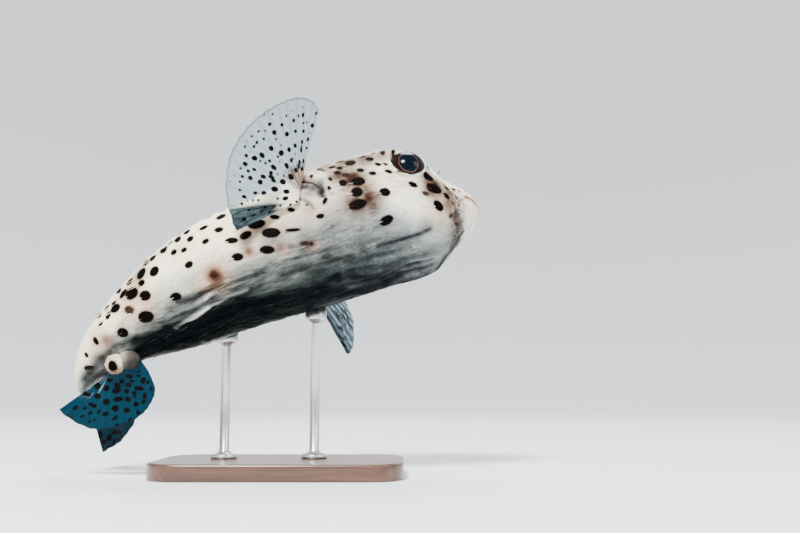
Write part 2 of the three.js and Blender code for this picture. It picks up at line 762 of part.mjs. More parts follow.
function addTrunkAndTail() {
  let trunk = toSolid(bodyLength(HEAD_END + HALF_GAP, TRUNK_END - HALF_GAP));
  for (const angle of [GILL_AT.angle, mirrored(GILL_AT.angle)]) {
    trunk = trunk.subtract(gillHollow(angle));
  }
  addPiece(fish, 'trunk', toGeometry(withSpines(trunk, HEAD_END, TRUNK_END)), SKIN);
  const tail = toSolid(bodyLength(TRUNK_END + HALF_GAP, TAIL_END - HALF_GAP));
  addPiece(fish, 'tail', toGeometry(withSpines(tail, TRUNK_END, TAIL_END)), SKIN);
  const peduncle = toSolid(bodyLength(TAIL_END + HALF_GAP, BODY_LENGTH - HALF_GAP));
  addPiece(fish, 'tail_root', toGeometry(withSpines(peduncle, TAIL_END, BODY_LENGTH)), SKIN);
}

function addFins() {
  const trunk = toSolid(bodyLength(HEAD_END, TRUNK_END, GAP));
  const tail = toSolid(bodyLength(TRUNK_END, BODY_LENGTH, GAP));
  const right = pectoral(RIGHT_PECTORAL, (angle) => angle);
  const left = pectoral(LEFT_PECTORAL, mirrored);
  const dorsal = tailSide(DORSAL_AT, 90, DORSAL_FLAP, DORSAL_RAISE);
  const anal = tailSide(ANAL_AT, 270, ANAL_FLAP, ANAL_RAISE);
  addPiece(fish, 'pectoral_fin_right', toGeometry(finSolid(right, trunk)), FIN);
  addPiece(fish, 'pectoral_fin_left', toGeometry(finSolid(left, trunk)), FIN);
  addPiece(fish, 'dorsal_fin', toGeometry(finSolid(dorsal, tail)), FIN);
  addPiece(fish, 'anal_fin', toGeometry(finSolid(anal, tail)), FIN);
  addPiece(fish, 'caudal_fin', toGeometry(toSolid(fanGeometry(caudal()))), FIN);
}

function addStand() {
  addPiece(model, 'stand_base', baseGeometry(), WOOD);
  const body = toSolid(bodyLength(HEAD_END / 2, TAIL_END, GAP).applyMatrix4(fish.matrix));
  for (const [name, rod] of Object.entries(RODS)) {
    addPiece(model, name, toGeometry(rodSolid(rod, body)), STEEL);
  }
}

addHead();
addTrunkAndTail();
addFins();
addStand();

export default model;
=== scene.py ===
import math

import bpy
import numpy as np
from mathutils import Matrix, Vector
from mathutils.bvhtree import BVHTree


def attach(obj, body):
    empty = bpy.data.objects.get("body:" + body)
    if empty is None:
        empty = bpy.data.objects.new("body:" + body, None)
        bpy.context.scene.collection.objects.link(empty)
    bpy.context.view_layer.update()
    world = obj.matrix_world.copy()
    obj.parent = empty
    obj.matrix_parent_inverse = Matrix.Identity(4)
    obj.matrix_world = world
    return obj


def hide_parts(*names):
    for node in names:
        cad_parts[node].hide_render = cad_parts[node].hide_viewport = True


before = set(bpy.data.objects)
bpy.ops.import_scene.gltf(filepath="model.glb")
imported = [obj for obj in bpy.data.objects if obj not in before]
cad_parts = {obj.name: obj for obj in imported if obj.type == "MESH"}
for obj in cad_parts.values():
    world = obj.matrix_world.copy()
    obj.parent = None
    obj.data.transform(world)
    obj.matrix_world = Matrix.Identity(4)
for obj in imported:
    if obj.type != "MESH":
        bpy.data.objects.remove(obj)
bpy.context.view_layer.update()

# ---- the fish's shape, in its own frame and in millimetres: X towards the snout, Y towards its
# left side, Z towards its back. s is the distance behind the tip of the snout along the centre
# line, and angle goes round the body: 0 left side, 90 back, 180 right side, 270 belly.

MM = 0.001
YAW, PITCH, BANK = 14, 23, 28
FISH_PLACE = np.array([-8.0, -8.0, 175.0])

BODY_LENGTH = 400
MIDDLE = 180
HEAD_TURN, HEAD_TURN_END = 5, 120
TAIL_TURN, TAIL_TURN_START, TAIL_TURN_POWER = 100, 115, 3.6
TAIL_ROLL, TAIL_ROLL_START, TAIL_ROLL_END = 15, 250, 340
ROOT_ROLL = 25

# distance from the snout, half width, height above and depth below the centre, centre's height
SECTIONS = np.array([
    [0, 6.5, 4, 4, -21],
    [3, 14.5, 10, 11, -18.5],
    [10, 22.5, 16.5, 18.5, -17],
    [22, 30.5, 23.5, 27.5, -14],
    [34, 42, 36, 42, -6],
    [46, 49, 45.5, 52, -2],
    [64, 55, 52, 57, 1],
    [92, 56.5, 53.5, 56.5, 3.5],
    [130, 55, 53, 56, 5],
    [175, 51.5, 48.5, 50.5, 4],
    [220, 48.5, 45.5, 45.5, 5],
    [265, 41, 39, 39, 2],
    [305, 29, 28, 28, -1],
    [340, 19, 20, 20, -0.5],
    [372, 11, 14, 14, 1.5],
    [400, 6, 13, 13, 3.5],
])
HALF_WIDTH, ABOVE, BELOW, LEVEL = 1, 2, 3, 4
SECTION_POWER = 2.3

EYE_S, EYE_ANGLE = 56, 168
EYE_RADIUS, EYE_STAND = 17, 1.7
ORBIT_RISE, ORBIT_SPREAD, ORBIT_UP = 6, 17, 0.39
SNOUT_DROOP, SNOUT_DROOP_END = 2.5, 20


def along(table, column, x):
    """The smooth value of one column of a table at x."""
    knots, values = table[:, 0], table[:, column]
    slopes = np.empty(len(knots))
    slopes[1:-1] = (values[2:] - values[:-2]) / (knots[2:] - knots[:-2])
    slopes[0] = (values[1] - values[0]) / (knots[1] - knots[0])
    slopes[-1] = (values[-1] - values[-2]) / (knots[-1] - knots[-2])
    x = np.asarray(x, float)
    i = np.clip(np.searchsorted(knots, x, side="right") - 1, 0, len(knots) - 2)
    step = knots[i + 1] - knots[i]
    t = np.clip((x - knots[i]) / step, 0, 1)
    rise, fall = t * t * (3 - 2 * t), t * (1 - t)
    return (values[i] * (1 - rise) + values[i + 1] * rise
            + step * fall * ((1 - t) * slopes[i] - t * slopes[i + 1]))


def smooth(x, low, high):
    """0 below low, 1 above high and a smooth step between them."""
    t = np.clip((x - low) / (high - low), 0, 1)
    return t * t * (3 - 2 * t)


def turned(axis, degrees):
    return np.array(Matrix.Rotation(math.radians(degrees), 3, axis))


FISH_TURN = turned("Z", YAW) @ turned("Y", -PITCH) @ turned("X", -BANK)


def on_stand(points):
    """Points of the fish's frame, in metres in the row frame."""
    return (np.asarray(points) @ FISH_TURN.T + FISH_PLACE) * MM


def turn_at(s):
    head = HEAD_TURN * np.maximum(0, 1 - s / HEAD_TURN_END)
    tail = np.clip((s - TAIL_TURN_START) / (BODY_LENGTH - TAIL_TURN_START), 0, 1)
    return np.radians(TAIL_TURN * tail ** TAIL_TURN_POWER - head)


def roll_at(s):
    tail = TAIL_ROLL * smooth(s, TAIL_ROLL_START, TAIL_ROLL_END)
    return np.radians(tail + ROOT_ROLL * smooth(s, TAIL_ROLL_END, BODY_LENGTH))


STATIONS = np.arange(BODY_LENGTH + 2)
STEPS = turn_at(STATIONS[1:] - 0.5)
LINE_X = np.concatenate([[0], np.cumsum(-np.cos(STEPS))])
LINE_Y = np.concatenate([[0], np.cumsum(np.sin(STEPS))])


def centre_at(s):
    s = np.asarray(s, float)
    return np.stack([
        np.interp(s, STATIONS, LINE_X) - LINE_X[MIDDLE],
        np.interp(s, STATIONS, LINE_Y) - LINE_Y[MIDDLE],
        along(SECTIONS, LEVEL, s),
    ], -1)


def axes_at(s):
    """The directions at s: back along the line, and the rolled left and up of its section."""
    turn, roll = turn_at(np.asarray(s, float)), roll_at(np.asarray(s, float))
    none, one = np.zeros_like(turn), np.ones_like(turn)
    back = np.stack([-np.cos(turn), np.sin(turn), none], -1)
    flat_left = np.stack([np.sin(turn), np.cos(turn), none], -1)
    flat_up = np.stack([none, none, one], -1)
    c, n = np.cos(roll)[..., None], np.sin(roll)[..., None]
    return back, flat_left * c - flat_up * n, flat_up * c + flat_left * n


def soft_power(value):
    return np.sign(value) * np.abs(value) ** (2 / SECTION_POWER)


def section(s, angle):
    """How far left and up of the centre the plain skin is."""
    across, upward = np.cos(np.radians(angle)), np.sin(np.radians(angle))
    height = np.where(upward >= 0, along(SECTIONS, ABOVE, s), along(SECTIONS, BELOW, s))
    return along(SECTIONS, HALF_WIDTH, s) * soft_power(across), height * soft_power(upward)


def plain_skin(s, angle):
    s, angle = np.broadcast_arrays(np.asarray(s, float), np.asarray(angle, float))
    _, left, up = axes_at(s)
    across, upward = section(s, angle)
    upward = upward - SNOUT_DROOP * (1 - smooth(s, 0, SNOUT_DROOP_END))
    return centre_at(s) + left * across[..., None] + up * upward[..., None]


def make_orbit(angle):
    """Where an orbit's dome lies before it is raised, and which way it rises."""
    side = 1 if math.cos(math.radians(angle)) > 0 else -1
    out = axes_at(EYE_S)[1] * side * math.sqrt(1 - ORBIT_UP ** 2)
    return plain_skin(EYE_S, angle), out + np.array([0, 0, ORBIT_UP])


ORBITS = {"right": make_orbit(EYE_ANGLE), "left": make_orbit(180 - EYE_ANGLE)}


def raised_skin(s, angle):
    point = plain_skin(s, angle)
    for foot, out in ORBITS.values():
        reach = np.linalg.norm(point - foot, axis=-1, keepdims=True) / ORBIT_SPREAD
        point = point + out * ORBIT_RISE * np.exp(-reach ** 2)
    return point


def unit(vectors):
    return vectors / np.linalg.norm(vectors, axis=-1, keepdims=True)


def skin_normal(s, angle, step=0.5, turn=1):
    at = np.clip(s, step, BODY_LENGTH - step)
    lengthways = raised_skin(at + step, angle) - raised_skin(at - step, angle)
    around = raised_skin(at, angle + turn) - raised_skin(at, angle - turn)
    return unit(np.cross(lengthways, around))


def skin(s, angle, out=0.0):
    return raised_skin(s, angle) + skin_normal(s, angle) * out


# ---- the main camera, and what it sees of the fish

VIEW_WIDTH, VIEW_HEIGHT = 800, 533
CAMERA_PLACE = np.array([0.097, -0.7409, 0.0676])
CAMERA_PITCH = 98
CAMERA_LENS, CAMERA_SENSOR = 40, 36

CAMERA_TURN = turned("X", CAMERA_PITCH)
PIXELS_A_METRE = VIEW_WIDTH * CAMERA_LENS / CAMERA_SENSOR


def in_fish(points):
    """Points of the row frame, in metres, in the fish's frame."""
    return (np.asarray(points) / MM - FISH_PLACE) @ FISH_TURN


EYEPOINT = in_fish(CAMERA_PLACE)


def sight(x, y):
    """The direction, in the fish's frame, that pixel x, y of the main view looks along."""
    ray = np.array([x - VIEW_WIDTH / 2, VIEW_HEIGHT / 2 - y, -PIXELS_A_METRE])
    return unit(CAMERA_TURN @ ray @ FISH_TURN)


def make_target():
    """The plain skin in squares of 1 mm by 1 degree, to find a place on it by."""
    s, angle = np.meshgrid(np.arange(BODY_LENGTH + 1), np.arange(360), indexing="ij")
    points = raised_skin(s, angle).reshape(-1, 3)
    row, column = np.meshgrid(np.arange(BODY_LENGTH), np.arange(360), indexing="ij")
    here, beside = row * 360 + column, row * 360 + (column + 1) % 360
    squares = np.stack([here, beside, beside + 360, here + 360], -1).reshape(-1, 4)
    return BVHTree.FromPolygons(points.tolist(), squares.tolist())


TARGET = make_target()


def seen_at(x, y):
    """s, angle, place and normal of the skin that pixel x, y of the main view shows."""
    place, normal, square, _ = TARGET.ray_cast(Vector(EYEPOINT), Vector(sight(x, y)))
    if place is None:
        return None
    return square // 360 + 0.5, square % 360 + 0.5, np.array(place), np.array(normal)


def tangents(s, angle):
    """The unit directions back along the skin and round it."""
    lengthways = raised_skin(min(s + 0.5, BODY_LENGTH), angle) - raised_skin(s - 0.5, angle)
    around = raised_skin(s, angle + 1) - raised_skin(s, angle - 1)
    return unit(lengthways), unit(around)


def mirrored(angle):
    return 180 - angle


# ---- small tools

def linear(red, green, blue):
    """A colour of 0 to 255 as the shaders take it."""
    value = np.array([red, green, blue]) / 255
    return np.where(value <= 0.04045, value / 12.92, ((value + 0.055) / 1.055) ** 2.4)


def mix(a, b, share):
    return a * (1 - share) + b * share


EVEN_POWER = 1 / 2.4


def tinted(colours, colour, share):
    """Colours turned towards one other colour, in steps that look even, by a share for each."""
    share = np.clip(share, 0, 1)[..., None]
    return (colours ** EVEN_POWER * (1 - share) + colour ** EVEN_POWER * share) ** (1 / EVEN_POWER)


def cloud(points, seed):
    """Smooth noise from -1 to 1 with one swell a unit."""
    cell = np.floor(points).astype(np.int64)
    t = points - cell
    t = t * t * (3 - 2 * t)
    total = np.zeros(points.shape[:-1])
    for corner in np.ndindex(2, 2, 2):
        at = cell + corner
        mixed = at[..., 0] * 73856093 ^ at[..., 1] * 19349663 ^ at[..., 2] * 83492791 ^ seed * 265443
        mixed = (mixed ^ (mixed >> 13)) * 1274126177 & 0x7FFFFFFF
        value = (mixed ^ (mixed >> 16)) % 65536 / 32768 - 1
        total += value * np.prod(np.where(corner, t, 1 - t), axis=-1)
    return total


def clouds(points, seed, octaves=3):
    total, size = 0, 1
    for octave in range(octaves):
        total = total + cloud(points * 2 ** octave, seed + octave) * size
        size /= 2
    return total


def hill(distance, width):
    return np.exp(-(distance / width) ** 2)


def from_line(points, line):
    """Distance of each point from a line through several places."""
    nearest = np.full(points.shape[:-1], 1e9)
    for a, b in zip(line[:-1], line[1:]):
        run = b - a
        t = np.clip((points - a) @ run / (run @ run), 0, 1)
        nearest = np.minimum(nearest, np.linalg.norm(points - a - t[..., None] * run, axis=-1))
    return nearest


def make_object(name, points, faces):
    """A mesh object from points in metres and a list of arrays of faces."""
    counts = np.concatenate([np.full(len(f), f.shape[1]) for f in faces])
    corners = np.concatenate([f.ravel() for f in faces]).astype(np.int32)
    starts = (np.cumsum(counts) - counts).astype(np.int32)
    mesh = bpy.data.meshes.new(name)
    mesh.vertices.add(len(points))
    mesh.vertices.foreach_set("co", np.asarray(points, np.float32).ravel())
    mesh.loops.add(len(corners))
    mesh.loops.foreach_set("vertex_index", corners)
    mesh.polygons.add(len(counts))
    mesh.polygons.foreach_set("loop_start", starts)
    mesh.update(calc_edges=True)
    mesh.validate()
    mesh.shade_smooth()
    piece = bpy.data.objects.new(name, mesh)
    bpy.context.scene.collection.objects.link(piece)
    return piece


def give_values(piece, **fields):
    """Numbers, vectors or colours, one for each vertex, for the material to read."""
    for name, values in fields.items():
        values = np.asarray(values, np.float32)
        kind, part = ("FLOAT", "value") if values.ndim == 1 else ("FLOAT_VECTOR", "vector")
        layer = piece.data.attributes.new(name, kind, "POINT")
        layer.data.foreach_set(part, values.ravel())


def give_map(piece, u, v):
    """The unwrap that patterns are kept by, from a u and v for each vertex.
    A face across the end of the unwrap's round takes the far side's u one turn on."""
    mesh = piece.data
    corners = np.empty(len(mesh.loops), np.int32)
    mesh.loops.foreach_get("vertex_index", corners)
    starts = np.empty(len(mesh.polygons), np.int32)
    mesh.polygons.foreach_get("loop_start", starts)
    face = np.repeat(np.arange(len(starts)), np.diff(np.append(starts, len(corners))))
    across = np.asarray(u, float)[corners]
    highest = np.full(len(starts), -1e9)
    np.maximum.at(highest, face, across)
    across = np.where(across < highest[face] - 0.5, across + 1, across)
    flat = np.stack([across, np.asarray(v, float)[corners]], -1)
    layer = mesh.uv_layers.new(name="OFBake")
    layer.data.foreach_set("uv", flat.astype(np.float32).ravel())


def grid_faces(rows, columns, closed=False):
    """Squares over rows x columns points, whose last column may join the first."""
    last = columns if closed else columns - 1
    row, column = np.meshgrid(np.arange(rows - 1), np.arange(last), indexing="ij")
    here = row * columns + column
    beside = row * columns + (column + 1) % columns
    return np.stack([here, beside, beside + columns, here + columns], -1).reshape(-1, 4)


def fan_faces(hub, ring):
    return np.stack([np.full(len(ring), hub), ring, np.roll(ring, -1)], -1)


def spun(profile, steps):
    """A closed solid of revolution about Z from (radius, height) pairs, its ends on the axis."""
    profile = np.array(profile, float)
    turn = np.arange(steps) * 2 * math.pi / steps
    middle = profile[1:-1]
    ring = np.stack([np.cos(turn), np.sin(turn)], -1)
    points = np.concatenate([
        np.concatenate([ring * r, np.full((steps, 1), z)], -1) for r, z in middle
    ] + [[[0, 0, profile[0, 1]], [0, 0, profile[-1, 1]]]])
    count = len(middle) * steps
    first, last = np.arange(steps), np.arange(count - steps, count)
    return points, [
        grid_faces(len(middle), steps, closed=True),
        np.concatenate([fan_faces(count, first[::-1]), fan_faces(count + 1, last)]),
    ]


def joined(parts):
    """Several (points, faces) meshes as one."""
    points, faces, start = [], [], 0
    for part_points, part_faces in parts:
        points.append(part_points)
        faces += [f + start for f in part_faces]
        start += len(part_points)
    return np.concatenate(points), faces


# ---- material nodes

class Nodes:
    """Shorter ways to add and join the nodes of one material."""

    def __init__(self, name):
        self.material = bpy.data.materials.new(name)
        self.material.use_nodes = True
        self.tree = self.material.node_tree
        self.shader = self.tree.nodes["Principled BSDF"]

    def add(self, kind, inputs=None, **settings):
        node = self.tree.nodes.new(kind)
        for key, value in settings.items():
            setattr(node, key, value)
        for key, value in (inputs or {}).items():
            self.put(node.inputs[key], value)
        return node

    def put(self, socket, value):
        if isinstance(value, bpy.types.NodeSocket):
            self.tree.links.new(value, socket)
        elif socket.type == "RGBA":
            socket.default_value = (*value, 1)
        else:
            socket.default_value = value

    def set(self, **inputs):
        for key, value in inputs.items():
            self.put(self.shader.inputs[key.replace("_", " ")], value)

    def attribute(self, name, output="Fac"):
        return self.add("ShaderNodeAttribute", attribute_name=name).outputs[output]

    def place(self):
        return self.add("ShaderNodeTexCoord").outputs["Object"]

    def math(self, operation, a, b):
        return self.add("ShaderNodeMath", {0: a, 1: b}, operation=operation).outputs[0]

    def plus(self, a, b):
        return self.math("ADD", a, b)

    def minus(self, a, b):
        return self.math("SUBTRACT", a, b)

    def times(self, a, b):
        return self.math("MULTIPLY", a, b)

    def shaken(self, value, grain, much):
        """A value moved up and down by a noise of 0 to 1."""
        return self.plus(value, self.times(self.minus(grain, 0.5), much))

    def scaled(self, vector, scale):
        node = self.add("ShaderNodeVectorMath", {0: vector, 1: scale}, operation="MULTIPLY")
        return node.outputs[0]

    def noise(self, vector, scale, detail=3.0, roughness=0.5):
        inputs = {"Vector": vector, "Scale": scale, "Detail": detail, "Roughness": roughness}
        return self.add("ShaderNodeTexNoise", inputs).outputs["Fac"]

    def ramp(self, value, low, high, start=0.0, end=1.0):
        inputs = {"Value": value, "From Min": low, "From Max": high, "To Min": start, "To Max": end}
        node = self.add("ShaderNodeMapRange", inputs, interpolation_type="SMOOTHSTEP")
        return node.outputs["Result"]

    def mix(self, share, a, b, blend="MIX"):
        node = self.add("ShaderNodeMix", data_type="RGBA", blend_type=blend)
        self.put(node.inputs[0], share)
        self.put(node.inputs[6], a)
        self.put(node.inputs[7], b)
        return node.outputs[2]

    def lit(self, colour, light):
        """A colour times a number."""
        grey = self.add("ShaderNodeCombineColor", {0: light, 1: light, 2: light}).outputs[0]
        return self.mix(1.0, colour, grey, "MULTIPLY")

    def bump(self, height, strength, distance):
        inputs = {"Height": height, "Strength": strength, "Distance": distance}
        return self.add("ShaderNodeBump", inputs).outputs["Normal"]


# ---- markings, with painted shade and painted highlights among them. Spots are placed where the
#  main camera sees them, in pixels of its view: x, y, half width, half height and, in degrees, how
#  far the spot's long side is turned clockwise.

HEAD_SPOTS = [
    (350, 163.7, 5, 2.2, -10), (339.4, 161.8, 3.8, 0.8, -10), (331.8, 167.1, 3.2, 1.2, -15),
    (339.4, 168.1, 2.8, 1.6, 0), (320.3, 170, 2.7, 1.1, -20), (323.3, 171.7, 2, 0.9, 0),
    (311.5, 176.3, 1.7, 1.3, 0), (330.2, 179, 1.7, 2, 0), (329.2, 189.2, 1.7, 2, 20),
    (325, 200.5, 3.6, 1.7, -60), (320.6, 216.4, 3.9, 2.3, -12), (307.4, 204.5, 1.3, 1.3, 0),
    (337, 172.9, 3, 1.8, 0), (342.5, 182.6, 3.8, 3.2, -10), (357.4, 181.7, 7, 4.2, -8),
    (357.4, 192.2, 5.5, 4.7, -20), (358.1, 204.2, 9, 4.6, -20), (362.1, 158, 3.4, 1, -15),
    (370, 159.9, 3.7, 1.5, 0), (372.7, 155.5, 1.7, 0.8, 0), (383.1, 155.2, 2.1, 1.9, -40),
    (391.8, 149.9, 2.7, 0.8, -30), (393, 152.2, 1.7, 0.9, -30), (377.7, 164.7, 2.9, 1.4, 10),
    (386, 164.5, 2.3, 0.9, 20), (360.6, 170.4, 3.4, 1.8, 0), (372.8, 172.9, 3.4, 1.9, 0),
    (388.4, 171.6, 3.8, 1.7, 15), (400.1, 172, 2.4, 0.9, 15), (412.5, 184, 4.2, 2.6, 20),
    (385.4, 192.4, 5, 4.2, 0), (385.8, 220.2, 7.3, 4.2, -35), (427.2, 167.8, 1.6, 2.5, 30),
    (428.1, 177, 4.6, 3.5, 20), (433.7, 188.1, 6.9, 4.6, 20), (438.7, 205.2, 5.7, 4, 65),
    (446.8, 195.7, 3.4, 2.2, 60), (446.8, 187.8, 2, 1.7, 0), (454, 189.3, 1.6, 1.2, 0),
    (443.8, 183.9, 1.6, 0.9, 10), (458.6, 190.9, 0.8, 0.8, 0),
]
FLANK_SPOTS = [
    (221.4, 216.5, 5.2, 2, -25), (218.8, 229.5, 4.3, 2.4, -12), (205.5, 241.6, 3.6, 2.2, -25),
    (203.6, 227.9, 4.5, 1.6, -25), (231.4, 240.7, 6.2, 2.9, -5), (246, 235.5, 6.2, 3.4, -30),
    (257.1, 224.8, 8.5, 4.2, -15), (271.4, 233, 8.9, 4.9, -5), (293.3, 229.7, 7.6, 1.5, -4),
    (275, 216.5, 4.9, 2, 5), (291.3, 210.4, 3.8, 2, 10), (267.1, 249.4, 7.1, 4, -5),
    (237.5, 257.1, 5.5, 3.7, -5), (216, 207.5, 4, 1.1, -20), (208.5, 212, 3, 1.1, -30),
]
TAIL_SPOTS = [
    (188.7, 264.7, 4.3, 3.1, -25), (173.3, 252.9, 3.2, 2.6, -45), (184.4, 250, 3.2, 2, -30),
    (153.7, 271.4, 5.5, 3.8, -60), (140.8, 273.6, 6.4, 3, -62), (141.8, 282.4, 3.6, 2.6, -50),
    (131.2, 293.6, 7, 5, -55), (144.6, 296, 5.5, 5, -40), (146.3, 317, 7.2, 6, -10),
    (122.2, 333.3, 5.4, 5, 20), (175.3, 296.7, 5.4, 3.9, -10), (115.7, 308.1, 5.5, 3.4, -50),
    (108.3, 315.1, 4.3, 2, -70), (100.6, 323.7, 2.9, 1.5, -60), (95.4, 341, 4.3, 2.1, 65),
    (86.3, 354.5, 2.7, 1.6, 60), (87.2, 329.5, 3.7, 1.6, -60), (88.2, 368.7, 4, 2.8, 15),
    (123.4, 293.4, 5.6, 1.9, -58), (118.6, 290.6, 3.4, 1.4, -52), (114, 302.2, 3, 1.5, -50),
    (111.6, 297.9, 2.6, 1.2, -50), (106.8, 307.5, 3, 1.5, -55), (102.5, 307.9, 2.5, 1.2, -55),
    (99.2, 315.1, 3, 1.4, -55), (129.8, 281.6, 4.3, 1.8, -50), (145.1, 263, 3.6, 1.6, -50),
    (152.8, 257.7, 4.3, 1.7, -50), (163, 250, 4.3, 2.3, -45), (178.2, 239, 3.6, 2.2, -35),
    (170, 243.5, 2.8, 1.1, -40), (187, 231.5, 3.4, 1.6, -35), (190.4, 238.4, 3.6, 2.4, -30),
    (178.5, 235, 2.4, 1, -35), (195.5, 223.5, 3.6, 1.2, -30), (92.5, 320.5, 2.4, 1.1, -60),
    (157.5, 247, 2.6, 1, -50),
]
# Reddish brown spots with soft edges
BROWN_SPOTS = [
    (345.1, 174.8, 3.7, 2, 0), (425.8, 193.2, 3.5, 2.5, 20), (453.5, 203.8, 1, 2, 0),
    (128.6, 310.3, 4.8, 4.6, 0), (304.5, 242.6, 4.2, 2.2, -5), (311, 243.6, 2.2, 1.8, 20),
    (450.8, 215.9, 1.6, 2.6, 20), (464.6, 224.2, 1.2, 1.8, 30), (456.3, 213.1, 1.3, 2.4, 10),
    (456.8, 224.6, 2.2, 2.2, 0),
]
# Grey shadows of spots, on the edge of the belly
FADED_SPOTS = [
    (363.5, 250, 5, 3, -10), (332, 226.5, 2.6, 1.4, -40), (326.5, 257, 6, 3, -10),
    (388, 266, 7, 4, -5), (350, 272, 6, 4, -5), (337, 278, 4, 3, -10),
]
# Soft clouds of colour, some of them painted shade: x, y, radius and strength
BROWN_CLOUDS = [
    (352, 180, 15, 1.0), (363, 188, 13, 0.75), (370, 199, 12, 1.05), (372, 208, 9, 0.7),
    (357, 181, 10, 1.1), (358, 204, 11, 1.05), (357, 193, 8, 0.9), (433, 188, 9, 1.1),
    (356, 205, 14, 0.75), (338, 175, 12, 0.85), (434, 187, 13, 1.15), (448, 192, 9, 0.6),
    (249, 252, 5.5, 0.6), (281, 247.5, 6, 0.55), (290, 246, 4, 0.4), (308, 244, 7, 0.6),
    # (99, 360) and (89, 375) are painted shade along the furrow between the tail and the anal fin
    (106, 340.5, 7, 0.5), (99, 360, 8, 0.45), (89, 375, 7, 0.4), (133, 293, 9, 0.45),
    (306, 177, 5, 0.4), (424, 178, 9, 0.5), (449, 204, 9, 0.65), (456, 216, 8, 0.75),
    (459, 227, 6, 0.6), (347, 164, 12, 0.6), (364, 160, 12, 0.5), (330, 168, 10, 0.5),
    (380, 156, 9, 0.35), (246, 236, 10, 0.5), (259, 228, 13, 0.45), (270, 235, 13, 0.4),
    (139, 275, 11, 0.5),
]
PINK_CLOUDS = [
    (248.7, 251.6, 7, 0.8), (284, 248, 8, 0.7), (257, 222, 15, 0.5), (283, 226, 10, 0.4),
    (131, 293, 14, 0.7), (144, 300, 14, 0.7), (130, 310, 12, 0.7), (96, 345, 9, 0.6),
    (105.4, 340.5, 8, 0.7), (307, 210, 11, 0.35), (312.5, 247, 8, 0.5), (180, 248, 8, 0.5),
    (345, 205, 16, 0.3), (440, 212, 14, 0.6), (452, 200, 9, 0.5), (306, 181, 6, 0.7),
]
# Painted shade where the flank turns down to the belly and throat, and by the gill
GREY_SHADE_CLOUDS = [
    (380, 231, 13, 0.8), (366, 238, 12, 0.5), (352, 232, 10, 0.3), (427, 226, 9, 0.6),
    (320, 232, 7, 0.4), (325, 182, 6, 0.5), (331, 226, 15, 0.42), (350, 236, 15, 0.4),
    (370, 230, 14, 0.32), (290, 247, 11, 0.32), (312, 250, 12, 0.35), (340, 212, 10, 0.3),
    (392, 232, 12, 0.3), (440, 226, 7, 0.3), (363, 247, 9, 0.3), (332, 226, 6, 0.4),
    (300, 240, 9, 0.3), (380, 220, 5, 0.4), (358, 210, 12, 0.3),
]
# Painted shade, lilac grey, in the hollow of the gill opening
GILL_HOLLOW_SHADING = [
    (304, 185, 8, 1.0), (312, 187, 8, 1.0), (318, 190, 7, 0.9), (309, 192, 9, 0.6),
    (321, 195, 5, 0.6),
]
# Tan, the back's own colour; the first four, over the top of the head, are made stronger as  painted
# shade there
TAN_CLOUDS = [
    (322, 168, 14, 0.8), (345, 163, 17, 0.95), (366, 160, 15, 0.85), (384, 157, 11, 0.7),
    (309, 210, 8, 0.7), (290, 222, 14, 0.25), (303, 203, 6, 0.4), (352, 180, 24, 0.3),
    (398, 178, 18, 0.25), (446, 205, 14, 0.4), (430, 176, 12, 0.3), (330, 215, 14, 0.2),
    (300, 224, 16, 0.25), (262, 214, 18, 0.2), (148, 262, 14, 0.2), (120, 300, 14, 0.3),
    (96, 340, 12, 0.3), (205, 288, 8, 0.5), (192, 282, 9, 0.4),
]
WART = (214.7, 275.7)
# Lines of pixels with a width and depth in mm, and how far the line is darkened or lightened:
#  the folds are darkened with painted shade in their creases, the ridges lightened with a painted
#  highlight on their crests
FOLDS_SEEN = [
    ([(430.5, 229.3), (418.9, 235), (406.8, 238), (393.9, 241.8), (378, 246)], 2.2, 1.3, 0.75),
    ([(431.8, 264), (412.4, 270.4), (392, 274)], 1.8, 1.2, 0.6),
    ([(424, 252), (404, 258), (380, 264), (352, 270)], 2.4, 1.0, 0.4),
    ([(410, 247), (388, 253), (366, 258), (344, 262)], 2.0, 0.8, 0.35),
    ([(178, 303), (194, 299), (208, 291), (222, 285)], 3.2, 2.2, 0.7),
    ([(352, 256), (330, 262), (306, 268), (282, 276)], 2.2, 1.1, 0.45),
    ([(330, 250), (306, 256), (280, 264), (256, 272)], 1.8, 0.9, 0.35),
    ([(262, 274), (240, 282), (222, 292), (206, 304)], 2.6, 1.2, 0.45),
    ([(184, 328), (200, 321), (214, 311), (232, 302)], 2.6, 1.6, 0.6),
    ([(420, 262), (396, 268), (370, 277), (340, 286), (306, 296)], 2.4, 1.2, 0.5),
    ([(186, 326), (170, 334), (150, 338), (134, 341)], 4.6, 2.6, 0.9),
    ([(134, 342), (125, 343), (117, 347), (110, 352), (104, 358), (97, 366), (90, 374), (84, 381)],
     4.4, 2.6, 0.6),
    ([(394, 170.5), (400, 174), (408, 176), (417, 175.5)], 1.0, 0.6, 0.35),
    ([(392.5, 190.6), (400, 187), (407.5, 182.5)], 0.5, 0.1, 0.25),
    ([(122, 322), (118, 332), (112, 340)], 4, 0.8, 0.2),
    ([(301, 180.5), (306, 179.5), (312, 180.5), (318, 183), (322, 188), (323.5, 195)], 2.4, 2.2, 0.9),
    ([(299, 198), (306, 200), (311, 204.5), (313, 208)], 1.5, 1.2, 0.5),
]
# Painted shade along the rim under chin and belly, on the seen side alone
RIMS_SEEN = [
    ([(463, 231), (458, 240), (452.5, 248), (445, 257), (435, 267)], 3.0, 0.2, 0.95),
    ([(424, 273), (408, 277.5), (392, 281.5), (374, 286), (356, 291), (336, 297), (316, 303)],
     5.5, 0.3, 0.9),
]
